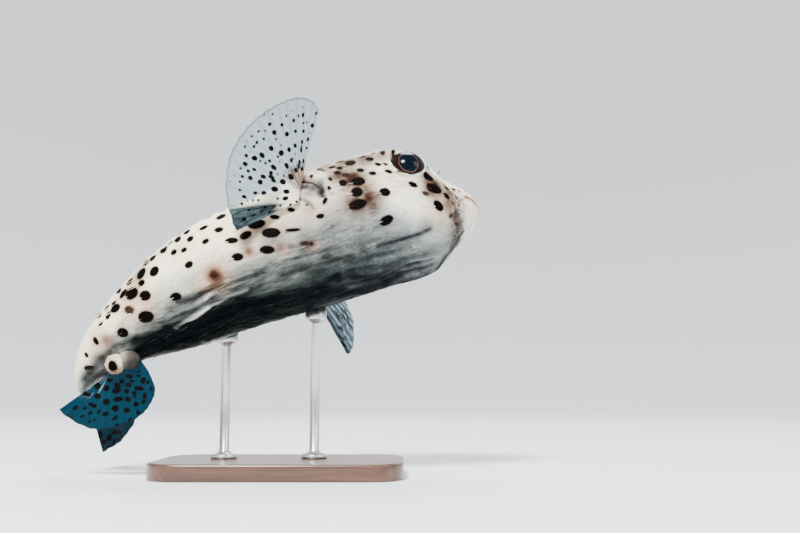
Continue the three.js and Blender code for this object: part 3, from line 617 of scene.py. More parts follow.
# Ridges: pixels, width and height in mm, and how far a painted highlight lightens each one's crest
RIDGES_SEEN = [
    ([(177, 329), (187, 322), (198, 315), (209, 307)], 2.2, 2.2, 1.0),
    ([(206, 298), (211, 295), (217, 292.5)], 1.8, 1.8, 1.0),
    ([(178, 311), (190, 307), (204, 299)], 2.6, 1.2, 0.35),
    ([(222, 291), (236, 285), (252, 279)], 1.5, 1.0, 0.5),
    ([(214, 305), (228, 297), (246, 290)], 1.6, 1.0, 0.4),
    ([(321, 173), (326, 180), (328.5, 189), (325, 198)], 2.6, 1.8, 0.5),
]

CREAM = linear(250, 239, 206)
HEAD_CREAM = linear(236, 229, 205)
BACK_TAN = linear(196, 184, 160)
# painted shade, in the creases of the folds and along the rims under chin and belly
DARK_SHADE = linear(16, 17, 19)
# a painted highlight on the ridges' crests
RIDGE_HIGHLIGHT = linear(214, 214, 204)
# painted shade in the gill hollow
HOLLOW_LILAC_SHADE = linear(52, 50, 56)
LIP_CREAM = linear(236, 226, 211)
MOUTH_BEIGE = linear(158, 114, 86)
CHIN_GREY = linear(64, 51, 46)
CLOUD_BROWN = linear(44, 26, 18)
CLOUD_PINK = linear(200, 152, 126)
CLOUD_TAN = linear(142, 122, 100)
# painted shade
SHADE_GREY = linear(96, 98, 98)
WART_BROWN = linear(40, 18, 13)
WART_ORANGE = linear(224, 166, 126)
SPOT_BLACK = linear(4, 2, 1)
SPOT_BROWN = linear(27, 18, 14)

# The belly's painted shade, from the flank down: cream, then grey at the first edge below, dark at
#  the second and nearly black at the third
BELLY_SHADE_STEPS = [(-1, CREAM), (-0.5, linear(180, 181, 170)), (0, linear(126, 130, 123)),
                (1, linear(78, 83, 79)), (1.7, linear(44, 50, 49)), (2.1, linear(9, 13, 15)),
                (2.6, linear(3, 6, 8))]
SHADE_START = 34

# s, and the angles down from the back at which the three edges of the belly's painted shade run
SHADE_EDGES = np.array([
    [0, 254, 290, 304], [35, 256, 292, 306], [50, 258, 302, 313], [75, 243, 285, 298],
    [90, 225, 261, 280], [105, 217, 250, 275], [120, 209, 241, 272], [140, 203, 235, 264],
    [160, 205, 231, 256], [195, 216, 229, 252], [212, 218, 227, 243], [230, 214, 223, 242],
    [250, 216, 221, 241], [265, 213, 230, 246], [280, 219, 235, 244], [300, 235, 247, 256],
    [327, 250, 258, 268], [400, 262, 280, 300],
])
LIP_BACK, LIP_SLANT = 22, 8
# Swellings over the eye, of the snout's end and along the throat: pixels, width and height in mm
SWELLS_SEEN = [
    ([(384, 155), (394, 153.2), (404, 152.6), (414, 154.5), (423, 160)], 8, 2.4, 0),
    ([(352, 161), (364, 158.5), (376, 156)], 8, 1.2, 0),
    ([(434, 268), (424, 273), (408, 278), (388, 283), (366, 289)], 8, 3.2, 0),
    ([(437, 174), (443, 180)], 6, -1.8, 0), ([(305, 184), (312, 187), (318, 192)], 5, -2.4, 0),
    ([(348, 158), (350, 158)], 4, 1.6, 0), ([(376, 153), (378, 153)], 3.5, 1.4, 0),
    ([(400, 150.5), (401, 150.5)], 3, 0.8, 0), ([(313, 171), (315, 171)], 5, 1.6, 0),
]
MOUTH_BACK, MOUTH_DIP, MOUTH_CORNER = -22.5, 5.5, (13, 18)
GILL_S, GILL_ANGLE = 132, 166
PECTORAL_S, PECTORAL_ANGLE = (134, 156), (145, 178)

SPOT_REACH = 9
MOST_STRETCH = 7.5
TOP_BARE = (52, 128)          # angles between which no spot is mirrored
BACK_SPOTS, BACK_SEED = 330, 12
BACK_ENDS, BACK_ANGLES, BACK_HALVES = (26, 388), (20, 136), (2.2, 4.4)
BACK_GAP, EYE_GAP = 6.5, 21
SIDE_ANGLE, SIDE_END = 52, 240          # below and ahead of these the mirrored spots do


def from_back(angle):
    """The angle from the back down to the belly, alike on both sides: 90 to 270."""
    return 270 - np.abs((np.asarray(angle) - 270 + 180) % 360 - 180)


def spot_seen(x, y, half_width, half_height, tilt):
    """A spot's place on the body and its two half axes as lengths along and round it."""
    found = seen_at(x, y)
    if found is None:
        return None
    s, angle, place, normal = found
    lengthways, around = tangents(s, angle)
    turn = math.radians(tilt)
    halves = []
    for half, way in ((half_width, turn), (half_height, turn + math.pi / 2)):
        ray = sight(x + half * math.cos(way), y + half * math.sin(way))
        reach = (place - EYEPOINT) @ normal / (ray @ normal)
        arm = EYEPOINT + ray * reach - place
        arm = arm * min(1, MOST_STRETCH / np.linalg.norm(arm))
        halves.append((arm @ lengthways, arm @ around))
    return s, angle, np.array(halves)


def both_sides(seen, random):
    """The spots as seen, and their like on the other side, each a little moved and resized."""
    spots = [spot for spot in seen if spot is not None]
    others = []
    for s, angle, halves in spots:
        shift = random.normal(0, 1, 2)
        flipped = halves * np.array([1, -1]) * random.uniform(0.85, 1.15)
        others.append((s + shift[0] * 3, mirrored(angle) + shift[1] * 2, flipped))
    return spots, others


def back_spots(taken, random):
    """Spots scattered over the back, clear of the others."""
    places = [raised_skin(s, angle) for s, angle, _ in taken]
    eyes = [foot for foot, _ in ORBITS.values()]
    spots = []
    for _ in range(BACK_SPOTS * 12):
        s, angle = random.uniform(*BACK_ENDS), random.uniform(*BACK_ANGLES)
        half = random.uniform(*BACK_HALVES)
        place = raised_skin(s, angle)
        if min(np.linalg.norm(place - eye) for eye in eyes) < EYE_GAP:
            continue
        if angle < SIDE_ANGLE and s < SIDE_END:
            continue
        if min(np.linalg.norm(place - other) for other in places) < BACK_GAP + half:
            continue
        places.append(place)
        stretch = random.uniform(1, 1.5)
        spots.append((s, angle, np.array([[half * stretch, 0], [0, half / stretch ** 0.5]])))
        if len(spots) == BACK_SPOTS:
            break
    return spots


def spot_distance(points, spots):
    """How far each point is from the edge of the nearest spot, less than 0 inside."""
    nearest = np.full(len(points), float(SPOT_REACH))
    for s, angle, halves in spots:
        centre = raised_skin(s, angle)
        arms = halves @ np.stack(tangents(s, angle))
        offset = points - centre
        reach = np.linalg.norm(arms, axis=1).max() + SPOT_REACH
        near = np.flatnonzero((offset ** 2).sum(-1) < reach ** 2)
        if len(near) == 0:
            continue
        inverse = np.linalg.pinv(arms.T)
        flat = offset[near] @ inverse.T
        radius = np.maximum(np.linalg.norm(flat, axis=-1), 1e-6)
        slope = np.linalg.norm(flat @ inverse, axis=-1) / radius
        nearest[near] = np.minimum(nearest[near], (radius - 1) / np.maximum(slope, 1e-6))
    return nearest


def cloud_share(points, clouds_seen):
    """The share of a soft colour at each point, on both sides of the body."""
    share = np.zeros(len(points))
    for x, y, radius, strength in clouds_seen:
        found = seen_at(x, y)
        if found is None:
            continue
        s, angle, place, _ = found
        size = radius * np.linalg.norm(place - EYEPOINT) / PIXELS_A_METRE
        for at in (angle, mirrored(angle)):
            distance = np.linalg.norm(points - raised_skin(s, at), axis=-1)
            share = np.maximum(share, strength * hill(distance, size))
    return share


def lines_seen(lines, sides=2):
    """The places of each line on one or both sides of the body, with its width, depth and shade."""
    found = []
    for pixels, width, depth, shade in lines:
        hits = [hit for hit in (seen_at(x, y) for x, y in pixels) if hit is not None]
        for turn in (lambda angle: angle, mirrored)[:sides]:
            line = np.array([raised_skin(s, turn(angle)) for s, angle, _, _ in hits])
            found.append((line, width, depth, shade))
    return found


# ---- the skin, in one piece from the lips to the root of the tail fin

EYE_OPENING = 14.9        # half width of the hole that the eye looks out of
OPENING_WAY = [0.18, -0.967, 0.165]      # on the right side
PUPIL_WAY = [0.024, -0.986, -0.166]
SOCKET_DIP = 1.2
COLUMNS = 280
FRONT_STEP, FRONT_END, SKIN_STEP = 0.8, 34, 1.35
CAP_ROWS = 6
SNOUT_BULGE, TAIL_BULGE = 3.0, 4.0

SOCKET_REACH, SOCKET_FLOOR, SOCKET_HOLLOW = 22, 8, 1.6
RIM_STAND, RIM_WIDTH = 0.5, 2.2

# How long, wide and high one swell of the skin's noises is, in mm
STREAKS, FINE_STREAKS = np.array([30, 3.4, 3.4]), np.array([14, 1.7, 1.7])
PEBBLES, WAVES = np.array([5, 2.6, 2.6]), np.array([52, 11, 11])
TONE_STREAKS, FINE_TONE_STREAKS = np.array([34, 4, 4]), np.array([11, 2, 2])
HEAD_BLOTCHES, AFT_BLOTCHES = np.array([13, 7, 7]), np.array([26, 8, 8])
EDGE_WAVES = np.array([40, 7, 7])
AFT = (130, 220)          # s, where the pebbled skin of the front turns into the streaked one

# Rings round the wart: height, radius and width
WART_RINGS = [(3.4, 0, 4.6), (1.0, 0, 10), (-0.6, 7, 1.6)]
# The gill opening: how far it lies ahead of its middle, how it bows, half length, and the height,
# place and width of its flap and of its slit
GILL_AHEAD, GILL_BOW, GILL_HALF = 4, 26, 11
GILL_FORMS = [(1.2, -3.2, 2.6), (-2.8, 0.4, 1.8)]
LIP_SWELL, LIP_CREASE = (1.0, 9), (0.3, 2.2)
MOUTH_RIM, MOUTH_SLIT = (0.8, 2.2, 1.5), (2.6, 0.8)
CHEEK, THROAT = (150, 210), (150, 190)      # angles down from the back

EYE_SINK = EYE_RADIUS - EYE_STAND - ORBIT_RISE
EYE_MIDDLES = {side: foot - out * EYE_SINK for side, (foot, out) in ORBITS.items()}


def shaded(depth, shades):
    """The painted shade at a depth below the belly's edge, in steps from one shade to the next."""
    stops = [stop for stop, _ in shades]
    return np.stack([
        np.interp(depth, stops, [colour[k] for _, colour in shades]) for k in range(3)
    ], -1)


def lip_edge(angle):
    return LIP_BACK - LIP_SLANT * np.sin(np.radians(angle))


def mouth_level(s):
    """The height of the line of the mouth, which dips from its corners to the front."""
    return MOUTH_BACK - MOUTH_DIP * (1 - smooth(s, 2, 15))


def relief(s, angle, points, lie):
    """How far the skin stands out from the plain form, in mm."""
    low = from_back(angle)
    belly = belly_share(s, low, lie)
    rise = 0.16 * clouds(lie / 9, 3) + 0.07 * clouds(lie / 2.4, 7, 2)
    streaks = clouds(lie / STREAKS, 11) + 0.6 * clouds(lie / FINE_STREAKS, 17, 2)
    pebbles = clouds(lie / PEBBLES, 19)
    rise += belly * mix(0.3 * pebbles, 0.55 * streaks - 0.5 * hill(streaks, 0.25), smooth(s, *AFT))
    rise += 0.9 * belly * clouds(lie / WAVES, 23, 2)
    for lines, sign in ((FOLDS_SEEN, -1), (RIDGES_SEEN, 1), (SWELLS_SEEN, 1)):
        for line, width, height, _ in lines_seen(lines):
            rise += sign * height * hill(from_line(points, line), width)
    from_wart = np.linalg.norm(points - seen_at(*WART)[2], axis=-1)
    for height, radius, width in WART_RINGS:
        rise += height * hill(from_wart - radius, width)
    edge = s - lip_edge(angle)
    swell, swell_width = LIP_SWELL
    swell *= 0.2 + 0.8 * smooth(low, *CHEEK)
    rise += swell * smooth(s, 0, 8) * (1 - smooth(edge, -swell_width, 0))
    crease, crease_width = LIP_CREASE
    rise -= crease * hill(edge, crease_width) * smooth(low, *THROAT)
    mouth = points[:, 2] - mouth_level(s) + 0.4 * cloud(lie / 5, 31)
    rim, rim_place, rim_width = MOUTH_RIM
    slit, slit_width = MOUTH_SLIT
    lips = rim * hill(np.abs(mouth) - rim_place, rim_width) - slit * hill(mouth, slit_width)
    rise += (1 - smooth(s, *MOUTH_CORNER)) * lips
    for gill_angle in (GILL_ANGLE, mirrored(GILL_ANGLE)):
        lengthways, around = tangents(GILL_S, gill_angle)
        offset = points - raised_skin(GILL_S, gill_angle)
        along_gill = offset @ around
        bow = offset @ lengthways + GILL_AHEAD - along_gill ** 2 / GILL_BOW
        for height, place, width in GILL_FORMS:
            rise += hill(along_gill, GILL_HALF) * height * hill(bow - place, width)
    return rise


def belly_fall(s, low):
    """-1 where the flank starts to turn grey, 0, 1 and 2 at the three edges of the belly's painted
    shade.
    """
    grey, dark, black = (np.interp(s, SHADE_EDGES[:, 0], SHADE_EDGES[:, k]) for k in (1, 2, 3))
    above = (low - grey) / SHADE_START
    upper, lower = (low - grey) / (dark - grey), 1 + (low - dark) / (black - dark)
    return np.where(low < grey, above, np.where(low < dark, upper, lower))


def belly_share(s, low, lie):
    """0 on the flanks and back, 1 on the belly, with a ragged edge between."""
    shake = 0.25 * clouds(lie / EDGE_WAVES, 41)
    return smooth(belly_fall(s, low) + shake, -0.45, 0.45)


def eye_frame(side, way):
    """The eye's middle, a direction out of it, and two directions square to that."""
    out = unit(np.array(way) * np.array([1, -1 if side == "left" else 1, 1]))
    across = unit(np.cross(np.array([0, 0, 1.0]), out))
    return EYE_MIDDLES[side], out, across, np.cross(out, across)


def fit_sockets(points):
    """Draws the skin under each eye's ball and up to a rim round it."""
    rim = math.sqrt(EYE_RADIUS ** 2 - EYE_OPENING ** 2) + RIM_STAND
    for side in ORBITS:
        middle, out, _, _ = eye_frame(side, OPENING_WAY)
        offset = points - middle
        height = offset @ out
        flat = offset - height[:, None] * out
        radius = np.linalg.norm(flat, axis=-1)
        near = (radius < SOCKET_REACH) & (height > 0)
        dome = np.sqrt(np.maximum(EYE_RADIUS ** 2 - radius ** 2, 0))
        hollow = SOCKET_HOLLOW * (1 - smooth(radius, SOCKET_FLOOR, EYE_OPENING))
        share = smooth(radius, EYE_OPENING - 0.9, EYE_OPENING + 0.5)
        ring = mix(height, np.maximum(height, rim), hill(radius - EYE_OPENING - 1, RIM_WIDTH))
        target = mix(dome - SOCKET_DIP - hollow, ring, share)
        points = np.where(near[:, None], points + (target - height)[:, None] * out, points)
    return points


def skin_rows():
    front = np.arange(0, FRONT_END, FRONT_STEP)
    count = round((BODY_LENGTH - FRONT_END) / SKIN_STEP)
    return np.concatenate([front, np.linspace(FRONT_END, BODY_LENGTH, count + 1)])


def cap(ring, along_line, bulge):
    """Smaller and smaller rings that round off an end."""
    middle = ring.mean(axis=0)
    rows = []
    for k in range(1, CAP_ROWS + 1):
        turn = k * math.pi / 2 / (CAP_ROWS + 1)
        rows.append(middle + (ring - middle) * math.cos(turn) + along_line * bulge * math.sin(turn))
    return rows, middle + along_line * bulge


def build_skin():
    rows = skin_rows()
    turn = np.arange(COLUMNS) * 360 / COLUMNS
    s, angle = (a.ravel() for a in np.meshgrid(rows, turn, indexing="ij"))
    plain = raised_skin(s, angle)
    lie = np.stack([s, *section(s, angle)], -1)
    points = fit_sockets(plain + skin_normal(s, angle) * relief(s, angle, plain, lie)[:, None])

    back = axes_at(np.array([0.0, BODY_LENGTH]))[0]
    front_rows, front_tip = cap(points[:COLUMNS], -back[0], SNOUT_BULGE)
    last_rows, last_tip = cap(points[-COLUMNS:], back[1], TAIL_BULGE)
    points = np.concatenate([*front_rows[::-1], points, *last_rows, [front_tip, last_tip]])
    total = len(rows) + 2 * CAP_ROWS
    hub = total * COLUMNS
    first, last = np.arange(COLUMNS), np.arange(hub - COLUMNS, hub)
    piece = make_object("fish_skin", on_stand(points), [
        grid_faces(total, COLUMNS, closed=True)[:, ::-1],
        np.concatenate([fan_faces(hub, first), fan_faces(hub + 1, last[::-1])]),
    ])

    def padded(values):
        """The values with those of the first and last ring again for the caps."""
        ends = [values[:COLUMNS]] * CAP_ROWS, [values[-COLUMNS:]] * CAP_ROWS
        return np.concatenate([*ends[0], values, *ends[1], values[[0, -1]]])

    spots, tone = paint_skin(piece, padded(s), padded(angle), padded(lie), padded(plain))
    across = np.tile(np.arange(COLUMNS) / COLUMNS, total)
    height = np.repeat(np.arange(total), COLUMNS) / total
    give_map(piece, np.append(across, [0.5, 0.5]), np.append(height, [0, 1]))
    rows_kept = slice(CAP_ROWS * COLUMNS, (CAP_ROWS + len(rows)) * COLUMNS)
    return piece, spots, tone[rows_kept].reshape(len(rows), COLUMNS, 3)


def paint_skin(piece, s, angle, lie, plain):
    """The skin's colour and the distance to its spots, for each point."""
    random = np.random.default_rng(BACK_SEED)
    low = from_back(angle)
    seen = [spot_seen(*spot) for spot in HEAD_SPOTS + FLANK_SPOTS + TAIL_SPOTS]
    here, there = both_sides(seen, random)
    spots = here + [spot for spot in there if not TOP_BARE[0] < spot[1] < TOP_BARE[1]]
    spots += back_spots(spots, random)
    browns = sum(both_sides([spot_seen(*spot) for spot in BROWN_SPOTS], random), [])
    faded = sum(both_sides([spot_seen(*spot) for spot in FADED_SPOTS], random), [])

    belly = belly_share(s, low, lie)
    aft = smooth(s, *AFT)
    streaks = clouds(lie / TONE_STREAKS, 59) + 0.6 * clouds(lie / FINE_TONE_STREAKS, 61, 2)
    blotches = mix(1.2 * clouds(lie / HEAD_BLOTCHES, 47), clouds(lie / AFT_BLOTCHES, 53), aft)
    # How deep each point lies in the belly's painted shade, its edges shaken by streaks and blotches
    fall = belly_fall(s, low)
    fall = fall + (0.4 * aft * streaks + 0.45 * blotches) * smooth(fall, -0.9, 0.5)

    tone = tinted(HEAD_CREAM, CREAM, smooth(s, 90, 190))
    tone = tinted(tone, BACK_TAN, 0.85 * (1 - smooth(low, 96, 128)))
    # Painted shade over the belly
    tone = tone * shaded(fall, BELLY_SHADE_STEPS) / CREAM
    ragged = 1 + 0.25 * clouds(lie / 5, 67)
    # Clouds of colour: the grey and lilac ones are painted shade, and so is part of the tan and brown
    for colour, clouds_seen, edge in (
            (CLOUD_TAN, TAN_CLOUDS, 1), (CLOUD_PINK, PINK_CLOUDS, 1), (SHADE_GREY, GREY_SHADE_CLOUDS, ragged),
            (CLOUD_BROWN, BROWN_CLOUDS, ragged), (HOLLOW_LILAC_SHADE, GILL_HOLLOW_SHADING, ragged)):
        tone = tinted(tone, colour, cloud_share(plain, clouds_seen) * edge)
    # Painted highlights on the ridges, painted shade in the folds and along the seen rims
    for colour, lines, edge in (
            (RIDGE_HIGHLIGHT, lines_seen(RIDGES_SEEN), 1),
            (DARK_SHADE, [(line, width * 0.9, depth, shade)
                         for line, width, depth, shade in lines_seen(FOLDS_SEEN)],
             1 + 0.3 * clouds(lie / 4, 97)),
            (DARK_SHADE, lines_seen(RIMS_SEEN, 1), ragged)):
        for line, width, _, shade in lines:
            tone = tinted(tone, colour, shade * hill(from_line(plain, line), width) * edge)
    tone = tone * (1 - 0.62 * smooth(-spot_distance(plain, faded), -2, 1.5))[:, None]
    tone = tinted(tone, SPOT_BROWN, 0.9 * smooth(-spot_distance(plain, browns), -0.9, 0.6))

    edge = s - lip_edge(angle)
    tone = tinted(tone, LIP_CREAM, 1 - smooth(edge + 2 * clouds(lie / 6, 73), -8, -1))
    chin = hill(edge - 1 - 2 * smooth(low, 200, 240), 8) * smooth(low, 172, 200)
    mottled = smooth(clouds(lie / 1.7, 71, 2), -0.3, 0.3)
    tone = tinted(tone, CHIN_GREY, chin * (0.28 + 0.7 * mottled))
    mouth = plain[:, 2] - mouth_level(s)
    tone = tinted(tone, MOUTH_BEIGE, (1 - smooth(s, *MOUTH_CORNER)) * hill(mouth, 2.2))
    from_wart = np.linalg.norm(plain - seen_at(*WART)[2], axis=-1)
    tone = tinted(tone, WART_ORANGE, 0.75 * hill(from_wart, 11) * ragged)
    tone = tinted(tone, WART_BROWN, 1.1 * hill(from_wart, 6) * ragged)

    distance = spot_distance(plain, spots)
    give_values(piece, tone=tone, spot=distance, lie=lie, belly=belly, aft=aft)
    return spots, tone


def skin_material():
    nodes = Nodes("painted skin")
    lie = nodes.attribute("lie", "Vector")
    belly, aft = nodes.attribute("belly"), nodes.attribute("aft")
    grain = nodes.noise(lie, 0.9, 4.0)
    fine = nodes.noise(nodes.scaled(lie, (0.25, 1, 1)), 1.6, 4.0, 0.6)
    mottle = nodes.noise(nodes.scaled(lie, (0.6, 1, 1)), 0.4, 5.0, 0.65)
    streaks = nodes.noise(nodes.scaled(lie, (0.18, 1, 1)), 0.6, 4.0, 0.6)
    pebbles = nodes.noise(nodes.scaled(lie, (0.6, 1, 1)), 0.6, 6.0, 0.72)
    swell = nodes.noise(nodes.scaled(lie, (0.22, 1, 1)), 0.24, 3.0, 0.55)
    crumple = nodes.plus(nodes.times(streaks, aft), nodes.times(pebbles, nodes.minus(1.0, aft)))
    base = nodes.lit(nodes.attribute("tone", "Color"), nodes.ramp(fine, 0.25, 0.75, 0.86, 1.06))
    base = nodes.lit(base, nodes.ramp(mottle, 0.36, 0.64, 0.84, 1.06))
    # On the belly the first of these follows the height of the wrinkles (crumple, also the bump below):
    # painted light on their crests, painted shade between them. The second is broad tone at random.
    for light in (nodes.ramp(crumple, 0.32, 0.68, 0.5, 1.45), nodes.ramp(swell, 0.3, 0.7, 0.6, 1.5)):
        base = nodes.mix(nodes.times(belly, 0.8), base, nodes.lit(base, light))
    ragged = nodes.shaken(nodes.attribute("spot"), grain, 1.3)
    base = nodes.mix(nodes.ramp(ragged, 0.0, 1.5, 0.75, 0.0), base, CLOUD_BROWN)
    base = nodes.mix(nodes.ramp(ragged, -0.25, 0.35, 1.0, 0.0), base, SPOT_BLACK)
    height = nodes.plus(nodes.times(crumple, nodes.plus(belly, 0.15)),
                        nodes.times(nodes.noise(lie, 2.2, 3.0), 0.25))
    height = nodes.plus(height, nodes.times(mottle, 0.5))
    nodes.set(Base_Color=base, Roughness=nodes.ramp(grain, 0.3, 0.7, 0.45, 0.6),
              Specular_IOR_Level=0.02, Normal=nodes.bump(height, 0.8, 0.0014))
    return nodes.material


# ---- eyes, lids and nostrils

PUPIL, PUPIL_RING, IRIS = 7.7, 8.0, 11.6      # distances from the middle of the eye, mm
LID_RADIUS, LID_THICK = 15.7, 0.65
EYE_STEPS = 96
PUPIL_FLAT = 0.88            # the pupil and iris are a little taller than wide
NOSTRIL_S, NOSTRIL_ANGLE = 27, 149
NOSTRIL_LENGTH, NOSTRIL_THICK = 5.6, 0.95
TUBE_SIDE = np.array([0.31, 0.45, 0.84])      # a direction that no tube runs along
IRIS_BROWN, EYE_NAVY = linear(22, 8, 8), linear(7, 9, 18)
RING_COPPER, PUPIL_BLUE = linear(96, 68, 60), linear(2, 8, 18)
LID_PALE, LID_BLUE = linear(176, 184, 192), linear(104, 114, 128)
NOSTRIL_PALE, NOSTRIL_DARK = linear(110, 138, 150), linear(52, 66, 76)


def fish_turned(points, place, out, across, upward):
    """Points round the origin, with their Z along out, moved to a place on the fish."""
    return place + points[:, :1] * across + points[:, 1:2] * upward + points[:, 2:] * out


def ball(radius, steps):
    """A ball round the origin, as points and faces."""
    fall = np.linspace(0, math.pi, steps // 2 + 1)
    return spun([(radius * math.sin(a), -radius * math.cos(a)) for a in fall], steps)


def build_eye(side):
    points, faces = ball(EYE_RADIUS, EYE_STEPS)
    placed = fish_turned(points, *eye_frame(side, PUPIL_WAY))
    eye = make_object("ball_" + side, on_stand(placed), faces)
    give_values(eye, gaze=points)
    return eye


def eye_material():
    nodes = Nodes("glass eye")
    gaze = nodes.attribute("gaze", "Vector")
    flat = nodes.scaled(gaze, (1, PUPIL_FLAT, 0))
    length = nodes.add("ShaderNodeVectorMath", {0: flat}, operation="LENGTH").outputs["Value"]
    radius = nodes.shaken(length, nodes.noise(gaze, 0.5, 3.0), 0.5)
    base = nodes.mix(nodes.ramp(radius, IRIS - 0.6, IRIS + 0.8), IRIS_BROWN, EYE_NAVY)
    ring = nodes.times(nodes.ramp(radius, PUPIL - 0.2, PUPIL + 0.1),
                       nodes.ramp(radius, PUPIL_RING - 0.2, PUPIL_RING + 0.2, 1.0, 0.0))
    base = nodes.mix(ring, base, RING_COPPER)
    base = nodes.mix(nodes.ramp(radius, PUPIL - 0.25, PUPIL + 0.05, 1.0, 0.0), base, PUPIL_BLUE)
    nodes.set(Base_Color=base, Roughness=0.15, Specular_IOR_Level=0.08, Coat_Weight=0.07,
              Coat_Roughness=0.02)
    return nodes.material


def build_lids():
    """A rim of bare, bluish skin round each eye."""
    rows, around = EYE_STEPS * 2, 14
    turn = np.arange(rows) * 2 * math.pi / rows
    t, a = np.meshgrid(turn, np.arange(around) * 2 * math.pi / around, indexing="ij")
    thick = LID_THICK * (1 + 0.25 * np.sin(t + 2.4) + 0.12 * np.sin(3 * t + 1))
    reach = LID_RADIUS + thick * np.cos(a) * 1.5
    level = math.sqrt(EYE_RADIUS ** 2 - EYE_OPENING ** 2)
    rise = level + thick * np.sin(a) * 0.8 + 0.1
    points = np.stack([np.cos(t) * reach, np.sin(t) * reach, rise], -1).reshape(-1, 3)
    faces = [grid_faces(rows + 1, around, closed=True)[:, ::-1] % (rows * around)]
    placed = [on_stand(fish_turned(points, *eye_frame(side, OPENING_WAY))) for side in ORBITS]
    return make_object("eye_rims", *joined([(part, faces) for part in placed]))


def lid_material():
    nodes = Nodes("eye rim")
    mottle = nodes.noise(nodes.place(), 220.0, 4.0)
    base = nodes.mix(nodes.ramp(mottle, 0.35, 0.7), LID_PALE, LID_BLUE)
    nodes.set(Base_Color=base, Roughness=0.3, Normal=nodes.bump(mottle, 0.3, 0.0006))
    return nodes.material


def tube(line, radii, steps=10):
    """A round tube along a line of places, closed at both ends."""
    turn = np.arange(steps)[:, None] * 2 * math.pi / steps
    rings = []
    for i, place in enumerate(line):
        run = unit(line[min(i + 1, len(line) - 1)] - line[max(i - 1, 0)])
        side = unit(np.cross(run, TUBE_SIDE))
        rings.append(place + radii[i] * (np.cos(turn) * side + np.sin(turn) * np.cross(run, side)))
    hub = len(line) * steps
    first, last = np.arange(steps), np.arange(hub - steps, hub)
    return np.concatenate([*rings, line[:1], line[-1:]]), [
        grid_faces(len(line), steps, closed=True),
        np.concatenate([fan_faces(hub, first[::-1]), fan_faces(hub + 1, last)]),
    ]


def build_nostrils():
    """A short forked tentacle on each side of the snout."""
    parts = []
    for angle in (NOSTRIL_ANGLE, mirrored(NOSTRIL_ANGLE)):
        foot = raised_skin(NOSTRIL_S, angle)
        out = skin_normal(NOSTRIL_S, angle)
        lengthways, around = tangents(NOSTRIL_S, angle)
        t = np.linspace(0, 1, 7)[:, None]
        stem = foot - out * 0.8 + out * t * NOSTRIL_LENGTH * 0.6 + lengthways * t ** 2 * 0.6
        parts.append(tube(stem, NOSTRIL_THICK * (1.25 - 0.35 * t[:, 0])))
        for lean in (-1, 1):
            way = (around * 1.4 + lengthways * 0.7) * lean
            fork = stem[-1] - out * 0.5 + out * t * NOSTRIL_LENGTH * 0.5 + way * t ** 1.3
            parts.append(tube(fork, NOSTRIL_THICK * (0.85 - 0.6 * t[:, 0] ** 2)))
    points, faces = joined(parts)
    return make_object("nostril_tentacles", on_stand(points), faces)


def nostril_material():
    nodes = Nodes("thin bluish skin")
    mottle = nodes.noise(nodes.place(), 500.0, 3.0)
    nodes.set(Base_Color=nodes.mix(nodes.ramp(mottle, 0.4, 0.6), NOSTRIL_PALE, NOSTRIL_DARK),
              Roughness=0.35)
    return nodes.material


# ---- fins. A fan runs by u from its first ray to its last and by v from its root to its free edge:
# each row of a table is u, the ray's angle from the way back, and its length.

PECTORAL_RAYS, TAIL_SIDE_RAYS, CAUDAL_RAYS = 16, 14, 9
PECTORAL_FAN = np.array([
    [0, 104, 52], [0.1, 97, 61], [0.2, 87, 64.5], [0.32, 74, 63.5], [0.45, 57.5, 62],
    [0.58, 40, 61], [0.7, 26, 60], [0.82, 12, 57.5], [0.9, -7, 54.5], [1, -25, 52],
])
LEFT_FAN = np.concatenate([PECTORAL_FAN[:-2], [[0.9, -8, 56.5], [1, -29, 57]]])
TAIL_SIDE_FAN = np.array([
    [0, 89, 12], [0.12, 87, 27], [0.28, 77, 36], [0.45, 66, 42], [0.62, 51, 45], [0.8, 29, 50],
    [1, -6, 53],
])
CAUDAL_FAN = np.array([[0, 25, 61], [0.25, 13, 68], [0.5, 0, 71], [0.75, -13, 68], [1, -25, 61]])
RIGHT_WAYS = ([-0.93, -0.31, 0.21], [0.36, -0.55, 0.75])
LEFT_WAYS = ([0.386, 0.578, -0.719], [0.287, 0.666, 0.689])
LEFT_REACH = 1.4
PECTORAL_BEND = -6
PECTORAL_OUT = 2.5
TAIL_SIDE_ROOT, TAIL_SIDE_HEIGHT = 32, 12
DORSAL_S, DORSAL_FLAP, DORSAL_RAISE = 292, 62, 38
ANAL_S, ANAL_FLAP, ANAL_RAISE = 306, 38, 3
CAUDAL_SWING, CAUDAL_DROOP, CAUDAL_ROLL, CAUDAL_BEND = 7, 6.4, 13, 3
CAUDAL_HALF, CAUDAL_OFF = 11, 0.6
PECTORAL_THICK, TAIL_SIDE_THICK, CAUDAL_THICK = 3.2, 4, 3      # half, at the fleshy foot
PECTORAL_RAY, TAIL_RAY = 0.34, 0.14      # how far the rays stand out of the membrane
RIGHT_FOLDED, LEFT_FOLDED = 0.89, 0.95      # from this u on, the rays lie folded together
FOLDS, FOLD_DEPTH, FOLD_COLUMNS = 7, 1.5, 64
COLUMNS_A_RAY, FIN_ROWS = 6, 44
PECTORAL_SHADES = {"membrane": (92, 136, 144), "ray": (120, 146, 150), "cover": 0.18,
                   "pad": (78, 63, 54), "lobe": (210, 203, 189),
                   "pale": (158, 140, 122), "streaks": False}
LEFT_SHADES = {"membrane": (26, 72, 92), "ray": (196, 212, 220), "cover": 0.78,
               "pad": (24, 40, 48), "lobe": (60, 76, 84), "pale": (120, 132, 136), "streaks": False}
TAIL_SHADES = {"membrane": (5, 37, 50), "ray": (8, 44, 58), "cover": 0.985,
               "pad": (9, 36, 44), "lobe": (10, 38, 46), "pale": (18, 48, 56), "streaks": True}
MEMBRANE_HALF = 0.22
